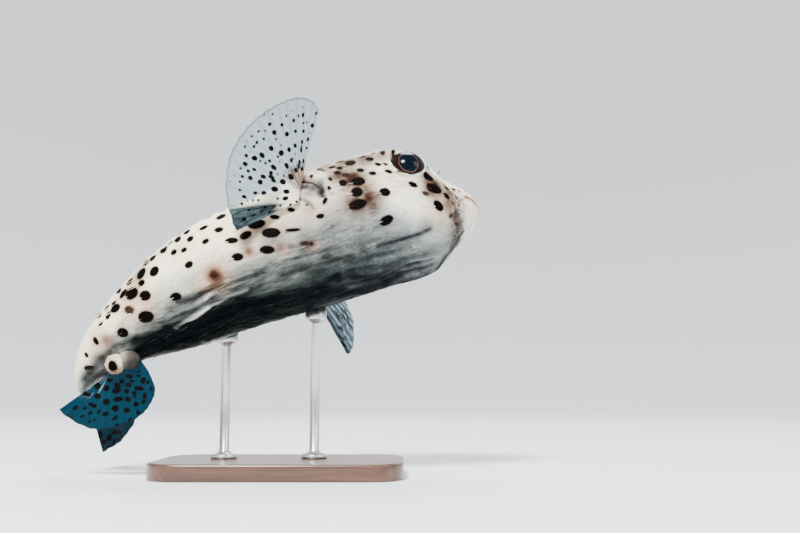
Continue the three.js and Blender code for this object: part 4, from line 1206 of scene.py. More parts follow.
FIN_SINK, SCALLOP, EDGE_TAPER = 0.06, 0.012, 0.05      # shares of the rays' length
RIPPLE, FINE_RIPPLE = 1.0, 0.4
PLEAT_DARK, PLEAT_PALE = linear(10, 18, 23), linear(70, 88, 94)
EDGE_DARK, STREAK_PALE, FIN_SPOT_BLACK = linear(16, 34, 44), linear(140, 160, 170), linear(2, 2, 3)
SPOT_ROWS = (0.2, 0.32, 0.44, 0.56, 0.68, 0.79, 0.89)
CAUDAL_ROWS = (0.15, 0.3, 0.45, 0.6)

# Spots of three fins where the main camera sees them. On the right pectoral fin: x, y, half width
# and how many times longer the spot is along its ray; on the others as on the skin.
RAY_FOOT = (300, 190)
SPOT_SCALE, TAIL_SPOT_SCALE = 1.3, 1.15
FIN_SPOT_REACH = 6.0
PECTORAL_SPOTS = [
    (262.9, 115.5, 1, 1), (271.8, 114.5, 1.2, 1), (293.2, 110.8, 0.9, 1), (286.8, 115.7, 1.2, 1),
    (281.1, 118.7, 0.9, 1), (295, 119.9, 1.4, 1.2), (300.3, 115, 1.1, 1.3),
    (305.3, 113.9, 1.2, 1.7), (306.2, 121.8, 1.1, 1), (309.7, 120.8, 0.9, 1),
    (316.1, 123.9, 1.7, 1.1), (319.2, 111.8, 0.9, 2), (304.3, 106.1, 0.8, 1.4),
    (269.2, 124.5, 1.6, 1), (282.1, 124.8, 1.6, 1), (257.6, 131.8, 1.4, 1), (264.3, 130.9, 1.1, 1),
    (274.2, 132.6, 2.1, 1), (287.9, 133.6, 2, 1), (297.3, 130.5, 1.5, 1), (306.7, 129.9, 1.4, 1.1),
    (313.6, 131.3, 0.8, 1), (250.3, 137, 1.2, 1), (245.6, 141.8, 1.1, 1), (243.2, 147.5, 1.3, 1),
    (255.8, 142.9, 1.5, 1), (263.1, 139.3, 1.4, 1), (252.7, 147.1, 1.4, 1), (248.9, 152.4, 0.9, 1),
    (276.1, 139.2, 0.9, 1.5), (268.4, 139.7, 0.8, 1), (312.1, 137.6, 1.1, 1.7),
    (305.5, 140.5, 1.3, 1.2), (281.1, 144.8, 0.9, 1.2), (297.4, 144.7, 1.7, 1.1),
    (304.4, 145, 0.9, 1.2), (311, 146.4, 1.2, 1), (270.8, 148.5, 2, 1.2), (290.4, 149.2, 1.8, 1.1),
    (281.6, 152.9, 2.4, 1), (304.5, 149, 1.3, 1.4), (297.2, 153.2, 0.9, 1.2),
    (277.8, 156.9, 1.2, 1), (244.6, 156.3, 1.5, 1.2), (251.3, 158.7, 1.4, 1),
    (253.4, 158.7, 2.1, 1.1), (261.1, 155.7, 1.9, 1.5), (259.2, 161.6, 1.1, 1),
    (268.9, 161.2, 1.4, 1), (264.5, 163.4, 1.2, 1), (279.7, 161.8, 0.8, 1.2),
    (292.7, 159.9, 1.3, 1.5), (294.7, 157.6, 0.9, 1.3), (302.6, 161, 1.3, 1.6),
    (307.6, 159.5, 1.2, 1.7), (301.3, 165.5, 1.2, 1.9), (243.4, 164.7, 1.8, 1.3),
    (238.5, 169.1, 1.2, 1.1), (246.3, 171.8, 1.4, 1.2), (252.6, 170.1, 1.3, 1.6),
    (273, 167.6, 1.9, 1.5), (287.3, 165.5, 1.9, 1.4), (297.5, 169.5, 1.8, 1.2),
    (305.3, 167.8, 1.3, 1.6), (231.3, 176.4, 0.8, 1), (239.8, 177.4, 1.4, 1.2),
    (248.1, 178.7, 1.9, 1.1), (261.8, 177.1, 1.8, 1.4), (258.2, 182.7, 2.2, 1),
    (270.1, 173.2, 1.8, 1), (270.3, 177.6, 1.4, 2), (272.4, 181.3, 1.4, 1.6),
    (276.8, 174.3, 0.9, 1.2), (283.4, 176.1, 1.1, 1), (281.7, 182.1, 2.3, 1.1),
    (290.8, 176.8, 2.5, 1.1), (237.1, 182.9, 1.1, 1.2), (226.1, 182.9, 0.7, 2),
    (236.6, 191, 1.3, 1.1), (240.7, 197.6, 1.5, 1.3), (243.9, 191.3, 0.7, 1),
    (252.4, 193.9, 1.4, 1.5), (261.3, 193.6, 1.7, 1.3), (272.6, 189.7, 2.3, 1.3),
    (283.9, 192.2, 2, 1.3), (282.3, 199.2, 1.8, 1.3), (275, 199.2, 1.1, 1), (244.5, 201.8, 1.3, 1),
    (249.7, 201.3, 1.2, 1.2), (255.5, 201.1, 1.2, 1.2), (238.2, 204.8, 1.2, 1.2),
    (262, 208, 0.9, 1.8), (270.5, 207, 0.9, 1.6), (277, 206.5, 0.9, 1.5), (286, 205.5, 1, 1.4),
    (266, 213, 0.9, 1.6), (258, 212, 0.9, 1.6), (250, 216, 1, 1.5), (245, 211, 0.9, 1.6),
    (278, 211, 0.9, 1.5), (284.5, 208.5, 0.8, 1.4), (240, 220, 1.4, 1.6), (292, 202.5, 1, 1.2),
]
LEFT_SPREAD, LEFT_SCALE = 3.0, 1.5
SEEN_GAP = 8      # from the spots seen to the scattered ones
PECTORAL_LARGEST, DORSAL_LARGEST, CAUDAL_LARGEST = 3.2, 2.8, 3
LEFT_SPOTS = [
    (336.5, 314, 1.1, 2.2), (338.3, 319, 1.3, 2), (340.7, 317.5, 1.1, 2), (343.2, 316.5, 1, 2),
    (345.8, 315.5, 0.9, 2), (341, 311, 1, 2), (344, 311.5, 0.9, 2), (349.5, 315, 0.8, 2),
    (338, 327.5, 1.1, 2), (341.5, 328.5, 1.2, 1.9), (344.5, 324.5, 1.1, 1.8),
    (347, 319.5, 0.9, 1.8), (348.5, 324, 0.8, 2), (351, 327, 0.7, 1.8), (346.5, 332.5, 1, 1.8),
    (349, 329, 0.8, 1.8), (347, 337, 1, 1.7), (351.5, 332, 0.7, 1.8), (354.5, 325, 0.7, 1.8),
    (355, 332.5, 0.6, 1.5), (353, 337, 0.6, 1.6), (341.5, 344.5, 0.9, 1.6), (344.5, 345, 0.9, 1.6),
    (350.5, 345, 0.8, 1.6), (340.3, 336, 0.8, 1.6), (346.2, 351.5, 1.1, 1), (344, 339, 0.8, 1.8),
    (350, 339.5, 0.8, 1.6),
]
ANAL_SPOTS = [
    (100.1, 375, 3.1, 3.3, 0), (85.8, 385.6, 2.5, 2.2, -30), (96, 386.5, 3, 2.8, 0),
    (105.9, 388.4, 3.1, 2.8, -20), (109.4, 380.5, 3, 1.9, -10), (117.2, 385.1, 3, 2, 10),
    (116.3, 390.7, 3.9, 2.6, -15), (121.6, 381.4, 2, 1.9, 0), (129.3, 376.3, 3.5, 1.7, 10),
    (132.5, 381, 2.6, 1.2, 0), (128.5, 385.1, 3.1, 1.9, 0), (126.7, 391.4, 2.4, 2.2, 0),
    (134.4, 393, 2.2, 1.9, 0), (139.4, 388.4, 4.8, 2, 5), (134.8, 396.7, 1.9, 1.2, 0),
    (118.2, 399.3, 4.6, 2.2, -5), (127.9, 399.3, 3.1, 2.2, 5), (96.4, 396.5, 3.2, 2.5, 0),
    (83.5, 394.6, 2.8, 1.9, 0), (87.6, 395.5, 1.9, 1.7, 0), (106, 402.1, 3.1, 2.9, -20),
    (115.4, 408.3, 3.2, 2.8, 0), (126.8, 410.3, 2.8, 2.4, 0), (136.2, 404.1, 2.6, 2.2, 0),
    (143.4, 402, 2.2, 1.6, -40), (144.7, 395.8, 3, 2, -65), (143.6, 380.5, 3.1, 2.4, -60),
    (148.7, 382.1, 1.7, 1.3, 0), (139.2, 375.7, 2.2, 1.1, 0), (139.7, 371.3, 2, 0.8, 0),
    (151.5, 388.8, 2.3, 1.2, -80), (138.2, 412.4, 1.9, 1.7, 0), (130.2, 419.5, 1.9, 1.4, -50),
    (115.4, 417.8, 3.3, 1.4, -38), (117.2, 424.9, 1.9, 1.5, -50), (98.1, 412, 2.2, 1.5, -50),
    (105.5, 414, 3, 2, -20), (89.2, 404.7, 2.2, 1.6, 20), (93.2, 406.4, 2.6, 2, 0),
    (89, 413.5, 2.4, 1.3, -30), (83.3, 409, 2.4, 1.3, -40), (73.3, 408.5, 3.1, 1.7, -35),
    (80.4, 416.9, 2.3, 1.3, -30), (88.4, 422.1, 2.3, 1.1, -30), (93.5, 420.3, 1.9, 1.1, -30),
    (69.1, 417.8, 1.7, 0.9, 0), (64.2, 416.1, 1.2, 0.7, 0), (61.5, 410.1, 1.1, 0.9, 0),
    (123.7, 426.8, 1.9, 1.3, -60),
]
CAUDAL_SPOTS = [
    (98, 434.2, 3.2, 1.9, -80), (106.4, 436.5, 3.1, 1.9, -70), (101.2, 440.6, 2.4, 2, 0),
    (112.6, 430.9, 3.5, 1.7, -10), (116.8, 430.9, 1.9, 1.7, 0), (123.7, 434.2, 1.4, 0.7, -60),
    (126.2, 430.5, 1.4, 0.7, -60), (118.6, 435.1, 1.4, 1.1, 0), (114.5, 437.4, 1.3, 1.1, 0),
    (110.8, 440.2, 2.6, 1, -75), (114, 442.5, 1.1, 0.9, 0), (106.6, 445.3, 2, 1.1, 0),
    (103.8, 447.6, 1.3, 1, 0), (120.3, 436.9, 0.7, 0.6, 0), (108.9, 442.5, 0.8, 0.6, 0),
    (115.9, 440.6, 0.7, 0.6, 0),
]

# Lobes at the anal fin's root: x, y in the view, radii and how far they stand forward, in mm
LOBES = [(117.8, 363.4, (7.7, 8.1, 6.5), 4), (130.4, 359.4, (8.8, 8, 5.5), 1.5)]
LOBE_SPOT = (119.2, 363.8, 4.1, 5.1, -20)
LOBE_STEPS = 40
LOBE_MAP = 0.09         # half of a lobe's own place on the unwrap
# The grey is painted shade, on the lobes' lower sides and over the second lobe
LOBE_CREAM, LOBE_PINK, LOBE_SHADE = linear(226, 216, 196), linear(166, 130, 106), linear(50, 48, 46)


def fan_axes(back, up):
    x = unit(np.asarray(back, float))
    y = np.asarray(up, float)
    y = unit(y - x * (y @ x))
    return x, y, np.cross(x, y)


def pectoral(fan, ways, reach, turn_side, folded):
    def root(u):
        angle = mix(*PECTORAL_ANGLE, u)
        return skin(mix(*PECTORAL_S, u), turn_side(angle), PECTORAL_OUT)

    return {"fan": fan, "axes": fan_axes(*ways), "reach": reach, "rays": PECTORAL_RAYS,
            "bend": PECTORAL_BEND, "root": root, "thick": PECTORAL_THICK,
            "flesh": (0.12, 0.22), "pad": (0.17, 0.23), "ray_half": PECTORAL_RAY, "folded": folded}


def tail_side(first, angle, flap, raise_by):
    back, left, up = axes_at(first + TAIL_SIDE_ROOT / 2)
    flap, raise_by = math.radians(flap), math.radians(raise_by)
    sign = math.copysign(1, math.sin(math.radians(angle)))
    away = up * sign * math.cos(flap) + left * math.sin(flap)
    swept = back * math.cos(raise_by) + away * math.sin(raise_by)

    def root(u):
        return skin(first + TAIL_SIDE_ROOT * u, np.full_like(u, angle), TAIL_SIDE_HEIGHT / 2)

    return {"fan": TAIL_SIDE_FAN, "axes": fan_axes(swept, away), "reach": 1,
            "rays": TAIL_SIDE_RAYS, "bend": 0, "root": root, "thick": TAIL_SIDE_THICK,
            "flesh": (0.1, 0.12), "pad": (0.1, 0.12), "ray_half": TAIL_RAY, "folded": 1}


def caudal():
    back, left, up = axes_at(BODY_LENGTH)
    trailing = turned(Vector(up), -CAUDAL_SWING) @ back - up * math.tan(math.radians(CAUDAL_DROOP))
    tall = up + left * math.tan(math.radians(CAUDAL_ROLL))
    middle = centre_at(BODY_LENGTH) + back * CAUDAL_OFF

    def root(u):
        return middle + up * mix(CAUDAL_HALF, -CAUDAL_HALF, u)[..., None]

    return {"fan": CAUDAL_FAN, "axes": fan_axes(trailing, tall), "reach": 1,
            "rays": CAUDAL_RAYS, "bend": CAUDAL_BEND, "root": root, "thick": CAUDAL_THICK,
            "flesh": (0.1, 0.1), "pad": (0.1, 0.1), "ray_half": TAIL_RAY, "folded": 1}


def fan_point(fin, u, v):
    angle = np.radians(along(fin["fan"], 1, u))[..., None]
    length = along(fin["fan"], 2, u)[..., None] * fin["reach"]
    back, up, out = fin["axes"]
    v = np.asarray(v, float)[..., None]
    return (fin["root"](np.asarray(u, float))
            + (back * np.cos(angle) + up * np.sin(angle)) * length * v
            + out * fin["bend"] * v * v)


def in_plane(fin, points):
    """How far back and up each point is in the fan's own plane."""
    offset = points - fan_point(fin, np.array(0.5), np.array(0.0))
    back, up, _ = fin["axes"]
    return np.stack([offset @ back, offset @ up], -1)


def fan_columns(fin):
    """Values of u for the columns, close together where the rays are folded."""
    spread = np.linspace(0, fin["folded"], round(fin["rays"] * fin["folded"]) * COLUMNS_A_RAY + 1)
    if fin["folded"] == 1:
        return spread
    return np.concatenate([spread, np.linspace(fin["folded"], 1, FOLD_COLUMNS)[1:]])


def pleats(fin, u, v):
    """How far each point is in the folded part, and how high on its pleat, both 0 to 1."""
    start = fin["folded"]
    folded = smooth(u, start, start + 0.03) if start < 1 else np.zeros_like(u)
    phase = (u - start) / (1.001 - start) * FOLDS
    phase = phase + 0.35 * np.sin(5 * v + 2.1 * phase) + 0.2 * np.sin(11 * v - 3 * phase)
    return folded, np.abs(phase % 1 - 0.5) * 2


def sheet_faces(columns):
    """The faces of a sheet's front and back, of columns x FIN_ROWS points each, and of its rim."""
    sheet = columns * FIN_ROWS
    faces = grid_faces(columns, FIN_ROWS)
    rim = np.concatenate([
        np.arange(FIN_ROWS),
        np.arange(2, columns) * FIN_ROWS - 1,
        sheet - 1 - np.arange(FIN_ROWS),
        np.arange(columns - 2, 0, -1) * FIN_ROWS,
    ])
    after = np.roll(rim, -1)
    edge = np.stack([rim, after, after + sheet, rim + sheet], -1)
    return [faces, faces[:, ::-1] + sheet, edge[:, ::-1]]


def build_fin(name, fin, spots):
    us, vs = fan_columns(fin), np.linspace(-FIN_SINK, 1, FIN_ROWS)
    u, v = (a.ravel() for a in np.meshgrid(us, vs, indexing="ij"))
    ray = 0.5 - 0.5 * np.cos(u * fin["rays"] * 2 * math.pi)
    crisp = ray ** 4
    folded, fold = pleats(fin, u, v)
    _, _, out = fin["axes"]
    ripple = RIPPLE * np.sin(u * 9 + 2 * v) * v + FINE_RIPPLE * np.sin(u * 23 - 3 * v) * v
    ripple += folded * FOLD_DEPTH * (fold - 0.5) * smooth(v, 0.02, 0.3)
    scallop = SCALLOP * (ray - 1) * smooth(v, 0.7, 1)
    middle = fan_point(fin, u, v + scallop) + out * ripple[:, None]

    flesh = mix(*fin["flesh"], smooth(u, 0.42, 0.6))
    half = MEMBRANE_HALF + fin["ray_half"] * crisp * (1 - 0.6 * v) * (1 - folded)
    half += fin["thick"] * hill(np.maximum(v, 0), flesh * 0.8) * (0.86 + 0.14 * ray)
    half *= 0.3 + 0.7 * smooth(1.0 - v, 0, EDGE_TAPER)
    column = np.repeat(np.arange(len(us)), FIN_ROWS)
    half *= np.minimum(1, (np.minimum(column, len(us) - 1 - column) + 1) / 4)
    points = np.concatenate([middle + out * half[:, None], middle - out * half[:, None]])
    sets = sheet_faces(len(us))
    corner = fan_point(fin, np.array([0.5, 0.52, 0.5]), np.array([0.5, 0.5, 0.52]))
    if np.cross(corner[1] - corner[0], corner[2] - corner[0]) @ out < 0:
        sets = [f[:, ::-1] for f in sets]
    piece = make_object(name, on_stand(points), sets)

    pad = mix(*fin["pad"], smooth(u, 0.2, 0.5))
    fields = {
        "ray": crisp, "spot": fin_spot_distance(in_plane(fin, middle), spots),
        "flesh": 1 - smooth(v + 0.05 * (1 - ray), pad * 0.7, pad * 1.6), "u": u, "v": v,
        "edge": smooth(v, 0.97, 0.99), "folded": folded * smooth(v, 0, 0.12), "fold": fold,
        "way": np.stack([u * fin["rays"] * 2.2, v * 2.4, 0 * u], -1),
    }
    give_values(piece, **{key: np.concatenate([value, value]) for key, value in fields.items()})
    height = (v + FIN_SINK) / (1.01 + FIN_SINK)
    give_map(piece, np.concatenate([u * 0.48, u * 0.48 + 0.5]), np.tile(height, 2))
    return piece


def fin_spot_distance(flat, spots):
    """Distance, in the fan's plane, from the edge of the nearest spot."""
    nearest = np.full(len(flat), FIN_SPOT_REACH)
    for centre, arms in spots:
        inverse = np.linalg.inv(arms.T)
        inner = (flat - centre) @ inverse.T
        radius = np.maximum(np.linalg.norm(inner, axis=-1), 1e-6)
        slope = np.linalg.norm(inner @ inverse, axis=-1) / radius
        nearest = np.minimum(nearest, (radius - 1) / slope)
    return nearest


def scattered(fin, rows, random, largest):
    """Spots in rows across the fan, smaller towards its free edge."""
    spots = []
    for k, v in enumerate(rows):
        count = round(fin["rays"] * (0.62 + 0.28 * v))
        for j in range(count):
            u = (j + 0.5 + 0.5 * (k % 2)) / (count + 0.5) + random.normal(0, 0.012)
            at = v + random.normal(0, 0.02)
            if not 0.02 < u < 0.98 or random.random() < 0.12:
                continue
            place, ray = place_and_ray(fin, u, at)
            half = largest * (1 - 0.62 * v) * random.uniform(0.7, 1.2)
            square = np.array([-ray[1], ray[0]])
            spots.append((place, np.stack([ray * half * random.uniform(1, 1.5), square * half])))
    return spots


def place_and_ray(fin, u, v):
    """A place in the fan's own plane, and the direction of its ray there."""
    place, ahead = in_plane(fin, fan_point(fin, np.full(2, u), v + np.array([0, 0.02])))
    return place, unit(ahead - place)


def fin_spot_seen(fin, x, y, half_width, half_height, tilt):
    """A fin's spot from where the main camera sees it."""
    _, _, out = fin["axes"]
    level = fan_point(fin, np.array(0.5), np.array(0.45))
    turn = math.radians(tilt)
    flat = []
    for reach, way in ((0, 0), (half_width, turn), (half_height, turn + math.pi / 2)):
        ray = sight(x + reach * math.cos(way), y + reach * math.sin(way))
        far = (level - EYEPOINT) @ out / (ray @ out)
        flat.append(in_plane(fin, EYEPOINT + ray * far))
    return flat[0], np.stack([flat[1] - flat[0], flat[2] - flat[0]])


def spots_along_rays(fin, spots_seen, foot, scale):
    """Spots that are longest in the direction away from the foot of the rays."""
    spots = []
    for x, y, half, stretch in spots_seen:
        tilt = math.degrees(math.atan2(y - foot[1], x - foot[0]))
        spots.append(fin_spot_seen(fin, x, y, half * scale * stretch, half * scale, tilt))
    return spots


def left_spots(fin, random):
    """The left fin's spots: as seen on its bent sheet, and scattered where the body hides them."""
    grid = np.meshgrid(np.linspace(0, 1, 101), np.linspace(0.05, 1, 81), indexing="ij")
    u, v = (a.ravel() for a in grid)
    ways = unit(fan_point(fin, u, v) - EYEPOINT)
    seen = []
    for x, y, half, stretch in LEFT_SPOTS:
        nearest = np.argmax(ways @ unit(sight(x, y)))
        place, ray = place_and_ray(fin, u[nearest], v[nearest])
        across = np.array([-ray[1], ray[0]]) * half * LEFT_SPREAD
        seen.append((place, np.stack([ray * half * stretch * LEFT_SCALE, across])))
    hidden = [spot for spot in scattered(fin, SPOT_ROWS, random, PECTORAL_LARGEST)
              if min(np.linalg.norm(spot[0] - other) for other, _ in seen) > SEEN_GAP]
    return seen + hidden


def build_lobes(fin):
    """The swollen lobes at the root of the anal fin, the first with a dark spot; both carry painted
    shade.
    """
    parts, shade_shares, pinks, across, heights = [], [], [], [], []
    back, up, out = fin["axes"]
    root = fan_point(fin, np.array(0.5), np.array(0.0))
    for k, (x, y, radii, forward) in enumerate(LOBES):
        place, arms = fin_spot_seen(fin, x, y, 1, 1, 0)
        middle = root + back * place[0] + up * place[1]
        middle = middle + out * forward * np.sign((EYEPOINT - middle) @ out)
        points, faces = ball(1, LOBE_STEPS)
        unrolled = points * np.sign(points[:, 2:] + 0.001) * LOBE_MAP
        across.append(0.25 + 0.2 * k + unrolled[:, 0])
        heights.append(0.5 + unrolled[:, 1])
        points = points * (1 + 0.09 * clouds(points * 2.6 + x, 83, 2)[:, None])
        flat = unit(arms[0])
        level = back * flat[0] + up * flat[1]
        points = fish_turned(points * np.array(radii), middle, out, level, np.cross(out, level))
        # Painted shade: grey on each lobe's lower side and over the second lobe, darker to its right.
        # Each lobe is also pinker towards its bottom.
        low = smooth(-((points - middle) @ FISH_TURN[2]) / radii[1], -0.2, 1)
        right = smooth((points - middle) @ level / radii[0], -0.7, 0.6)
        shade_shares.append(0.3 * low + k * (0.35 + 0.6 * right))
        pinks.append(0.7 * low)
        parts.append((points, faces))
    points, faces = joined(parts)
    piece = make_object("anal_lobes", on_stand(points), faces)
    facing = (points - root) @ out * ((EYEPOINT - points[0]) @ out) > 0
    distance = fin_spot_distance(in_plane(fin, points), [fin_spot_seen(fin, *LOBE_SPOT)])
    shade = 0.2 + 0.5 * clouds(points / 6, 89) + np.concatenate(pinks)
    tone = tinted(np.tile(LOBE_CREAM, (len(points), 1)), LOBE_PINK, shade)
    tone = tinted(tone, LOBE_SHADE, np.concatenate(shade_shares))
    none = np.zeros(len(points))
    give_values(piece, spot=distance + np.where(facing, 0, FIN_SPOT_REACH), tone=tone, lie=points,
                belly=none, aft=none)
    give_map(piece, np.concatenate(across), np.concatenate(heights))
    return piece


def fin_material(name, shades):
    nodes = Nodes(name)
    tint = {key: linear(*shades[key]) for key in ("membrane", "ray", "pad", "pale", "lobe")}
    ray, flesh, edge, u, folded, fold = (
        nodes.attribute(key) for key in ("ray", "flesh", "edge", "u", "folded", "fold"))
    fibre = nodes.noise(nodes.attribute("way", "Vector"), 1.0, 3.0)
    grain = nodes.noise(nodes.place(), 260.0, 3.0)
    spot = nodes.ramp(nodes.shaken(nodes.attribute("spot"), grain, 0.6), -0.35, 0.35, 1.0, 0.0)
    base = nodes.mix(nodes.times(ray, 0.8), tint["membrane"], tint["ray"])
    streak = nodes.plus(nodes.times(fold, 0.6), nodes.times(grain, 0.6))
    base = nodes.mix(folded, base, nodes.mix(nodes.ramp(streak, 0.2, 0.95), PLEAT_DARK, PLEAT_PALE))
    base = nodes.mix(nodes.times(edge, 0.9), base, EDGE_DARK)
    pad = nodes.mix(nodes.ramp(fibre, 0.42, 0.6), tint["pad"], tint["pale"])
    pad = nodes.mix(nodes.ramp(u, 0.5, 0.72), pad, tint["lobe"])
    base = nodes.mix(flesh, base, pad)
    if shades["streaks"]:
        near_root = nodes.ramp(nodes.attribute("v"), 0.3, 0.62, 1.0, 0.0)
        streaks = nodes.times(nodes.ramp(u, 0.78, 0.92), near_root)
        streaks = nodes.times(streaks, nodes.ramp(fibre, 0.52, 0.66))
        base = nodes.mix(nodes.times(streaks, 0.6), base, STREAK_PALE)
    base = nodes.mix(spot, base, FIN_SPOT_BLACK)
    cover = nodes.plus(nodes.times(ray, (1 - shades["cover"]) * 0.3), shades["cover"])
    for more in (nodes.times(spot, 0.97), flesh, nodes.times(edge, 0.85), nodes.times(folded, 0.93)):
        cover = nodes.math("MAXIMUM", cover, more)
    nodes.set(Base_Color=base, Alpha=cover, Roughness=0.45, Specular_IOR_Level=0.04,
              Normal=nodes.bump(grain, 0.12, 0.0004))
    return nodes.material


# ---- spines, folded back along the skin

SPINE_LENGTH, SPINE_THICK = (8, 13), 0.55
SPINE_RISE, SPINE_DEPTH = 2.0, 1.2
SPINE_STEPS, SPINE_SIDES = 6, 7
SPINE_SEED = 5
SPINE_RINGS, SPINE_SPACING, SPINE_GAP = np.arange(30, 380, 13), 15, 6.5
SPINE_ENDS = (26, 384)
LOW_ANGLE, LOW_SIZE = 232, 0.6      # under the belly the spines are smaller
PALE_SHARE, PALE_ANGLES = 0.3, (198, 222)
PATCH_HALF = 0.0015         # half of a spine's own place on the unwrap
SPINE_CREAM, SPINE_TAN = linear(232, 224, 208), linear(206, 194, 174)
BARE_PLACES = [
    (EYE_S, EYE_ANGLE, 20), (NOSTRIL_S, NOSTRIL_ANGLE, 9), (GILL_S, GILL_ANGLE, 17),
    (147, 162, 24), (178, 178, 22), (DORSAL_S + 16, 90, 24), (ANAL_S + 16, 270, 26),
]


def spine(s, angle, length, rise):
    """The line and radii of one spine, which bows to follow the body back."""
    t = np.linspace(0, 1, SPINE_STEPS)
    out = -SPINE_DEPTH * (1 - t) ** 2 + rise * t ** 1.4
    at = np.minimum(s + length * t, BODY_LENGTH - 1)
    radii = SPINE_THICK * (1 - t ** 1.6 * 0.92) * length / SPINE_LENGTH[1]
    return skin(at, np.full_like(t, angle), out[:, None]), radii


def spine_places(spots, random):
    """Where the spines are rooted: in the spots, with how far each spot reaches, and in rings."""
    places = [(s, angle, np.linalg.norm(arms[:, 0])) for s, angle, arms in spots
              if SPINE_ENDS[0] < s < SPINE_ENDS[1]]
    middles = np.array([raised_skin(s, angle) for s, angle, _ in spots])
    reaches = np.array([np.linalg.norm(arms, axis=1).max() for _, _, arms in spots])
    for ring, level in enumerate(SPINE_RINGS):
        count = round(2 * math.pi * float(along(SECTIONS, HALF_WIDTH, level)) / SPINE_SPACING)
        for j in range(count):
            angle = ((j + ring % 2 / 2) * 360 / count + random.normal(0, 3)) % 360
            place = (level + random.normal(0, 1.6), angle, 0)
            ends = raised_skin(place[0] + np.array([[5.0], [10.0]]), angle)
            if (np.linalg.norm(middles - ends, axis=-1) > reaches + 1.5).all():
                places.append(place)
    return places


def build_spines(spots, skin_tones):
    random = np.random.default_rng(SPINE_SEED)
    bare = [(raised_skin(s, a), gap) for s, angle, gap in BARE_PLACES
            for a in (angle, mirrored(angle))]
    parts, kept, roots, tones = [], [], [], []
    rows = skin_rows()
    for s, angle, reach in spine_places(spots, random):
        place = raised_skin(s, angle)
        if any(np.linalg.norm(place - at) < gap for at, gap in bare):
            continue
        if kept and min(np.linalg.norm(place - other) for other in kept) < SPINE_GAP:
            continue
        kept.append(place)
        low = float(from_back(angle))
        size = LOW_SIZE if low > LOW_ANGLE else 1
        near_head = 0.75 + 0.25 * float(smooth(s, 30, 90))
        length = random.uniform(*SPINE_LENGTH) * size * near_head
        rise = SPINE_RISE * random.uniform(0.5, 1.2) * size
        points, faces = tube(*spine(s, angle, length, rise), SPINE_SIDES)
        parts.append((on_stand(points), faces))
        in_spot = reach / length * random.uniform(0.7, 1.25) - 0.05
        # The spine takes the skin's colour at its tip, painted shade included, mixed with a pale share
        # that fades out under the belly
        pale = PALE_SHARE * (1 - float(smooth(low, *PALE_ANGLES)))
        roots.append((s, angle, in_spot, pale))
        row = min(int(np.searchsorted(rows, s + length)), len(rows) - 1)
        tones.append(skin_tones[row, int(angle / 360 * COLUMNS) % COLUMNS])
    piece = make_object("spines", *joined(parts))
    count = SPINE_STEPS * SPINE_SIDES + 2
    s, angle, in_spot, pale = (np.repeat(column, count) for column in np.array(roots).T)
    across = np.tile(np.linspace(-1, 1, count), len(roots)) * PATCH_HALF
    height = np.tile(np.resize([-1.0, 1.0, 0.0], count), len(roots)) * PATCH_HALF
    give_map(piece, across + angle / 360, height + s / BODY_LENGTH)
    give_values(piece, in_spot=in_spot, pale=pale, tip=np.tile(np.linspace(0, 1, count), len(roots)),
                tone=np.repeat(tones, count, axis=0))
    return piece


def spine_material():
    nodes = Nodes("spines")
    grain = nodes.noise(nodes.place(), 320.0, 3.0)
    pale = nodes.mix(nodes.ramp(grain, 0.3, 0.7), SPINE_CREAM, SPINE_TAN)
    base = nodes.mix(nodes.attribute("pale"), nodes.attribute("tone", "Color"), pale)
    beyond = nodes.minus(nodes.attribute("tip"), nodes.attribute("in_spot"))
    base = nodes.mix(nodes.ramp(beyond, -0.08, 0.02, 1.0, 0.0), base, SPOT_BLACK)
    nodes.set(Base_Color=base, Roughness=0.35)
    return nodes.material


# ---- stand

BASE_SIZE, BASE_CORNER, BASE_BEVEL = (0.2, 0.116, 0.013), 0.026, 0.002
RODS = {"stand_rod_front": (0.026, 0.008, 0.138), "stand_rod_back": (-0.048, 0.006, 0.119)}
ROD_RADIUS, FLANGE_RADIUS, FLANGE_HEIGHT = 0.004, 0.011, 0.003
CUP_RADIUS, CUP_HEIGHT, CUP_RISE = 0.009, 0.014, 0.005
GAP = 0.0003
ROD_STEPS, CUP_RINGS = 48, 6
CORNER_STEPS, EDGE_STEPS, BASE_RINGS = 14, 6, (0.006, 0.014, 0.022)
WOOD_DARK, WOOD_RED, PORE_DARK = linear(58, 34, 22), linear(96, 60, 38), linear(30, 17, 11)
STEEL = linear(196, 197, 200)


def board_loop(inset, height):
    """The board's outline at one height, drawn in by an inset."""
    turn = np.linspace(0, math.pi / 2, CORNER_STEPS)
    half = np.array(BASE_SIZE[:2]) / 2 - BASE_CORNER
    corners = []
    for k, way in enumerate([(1, 1), (-1, 1), (-1, -1), (1, -1)]):
        a = turn + k * math.pi / 2
        ring = np.stack([np.cos(a), np.sin(a)], -1) * (BASE_CORNER - inset) + np.array(way) * half
        corners.append(np.column_stack([ring, np.full_like(a, height)]))
    return np.concatenate(corners)


def build_base():
    """A flat board with round corners and softened edges."""
    bow = np.linspace(0, math.pi / 2, EDGE_STEPS)
    foot, top = BASE_BEVEL / 2, BASE_SIZE[2] - BASE_BEVEL
    loops = [board_loop(foot * (1 - math.sin(a)), foot * (1 - math.cos(a))) for a in bow]
    loops += [board_loop(BASE_BEVEL * (1 - math.cos(a)), top + BASE_BEVEL * math.sin(a)) for a in bow]
    loops += [board_loop(inset, BASE_SIZE[2]) for inset in BASE_RINGS]
    count = len(loops[0])
    points = np.concatenate(loops)
    lid = np.arange(len(points) - count, len(points))
    faces = [grid_faces(len(loops), count, closed=True), lid[None, :], np.arange(count)[None, ::-1]]
    return make_object("wood_base", points, faces)


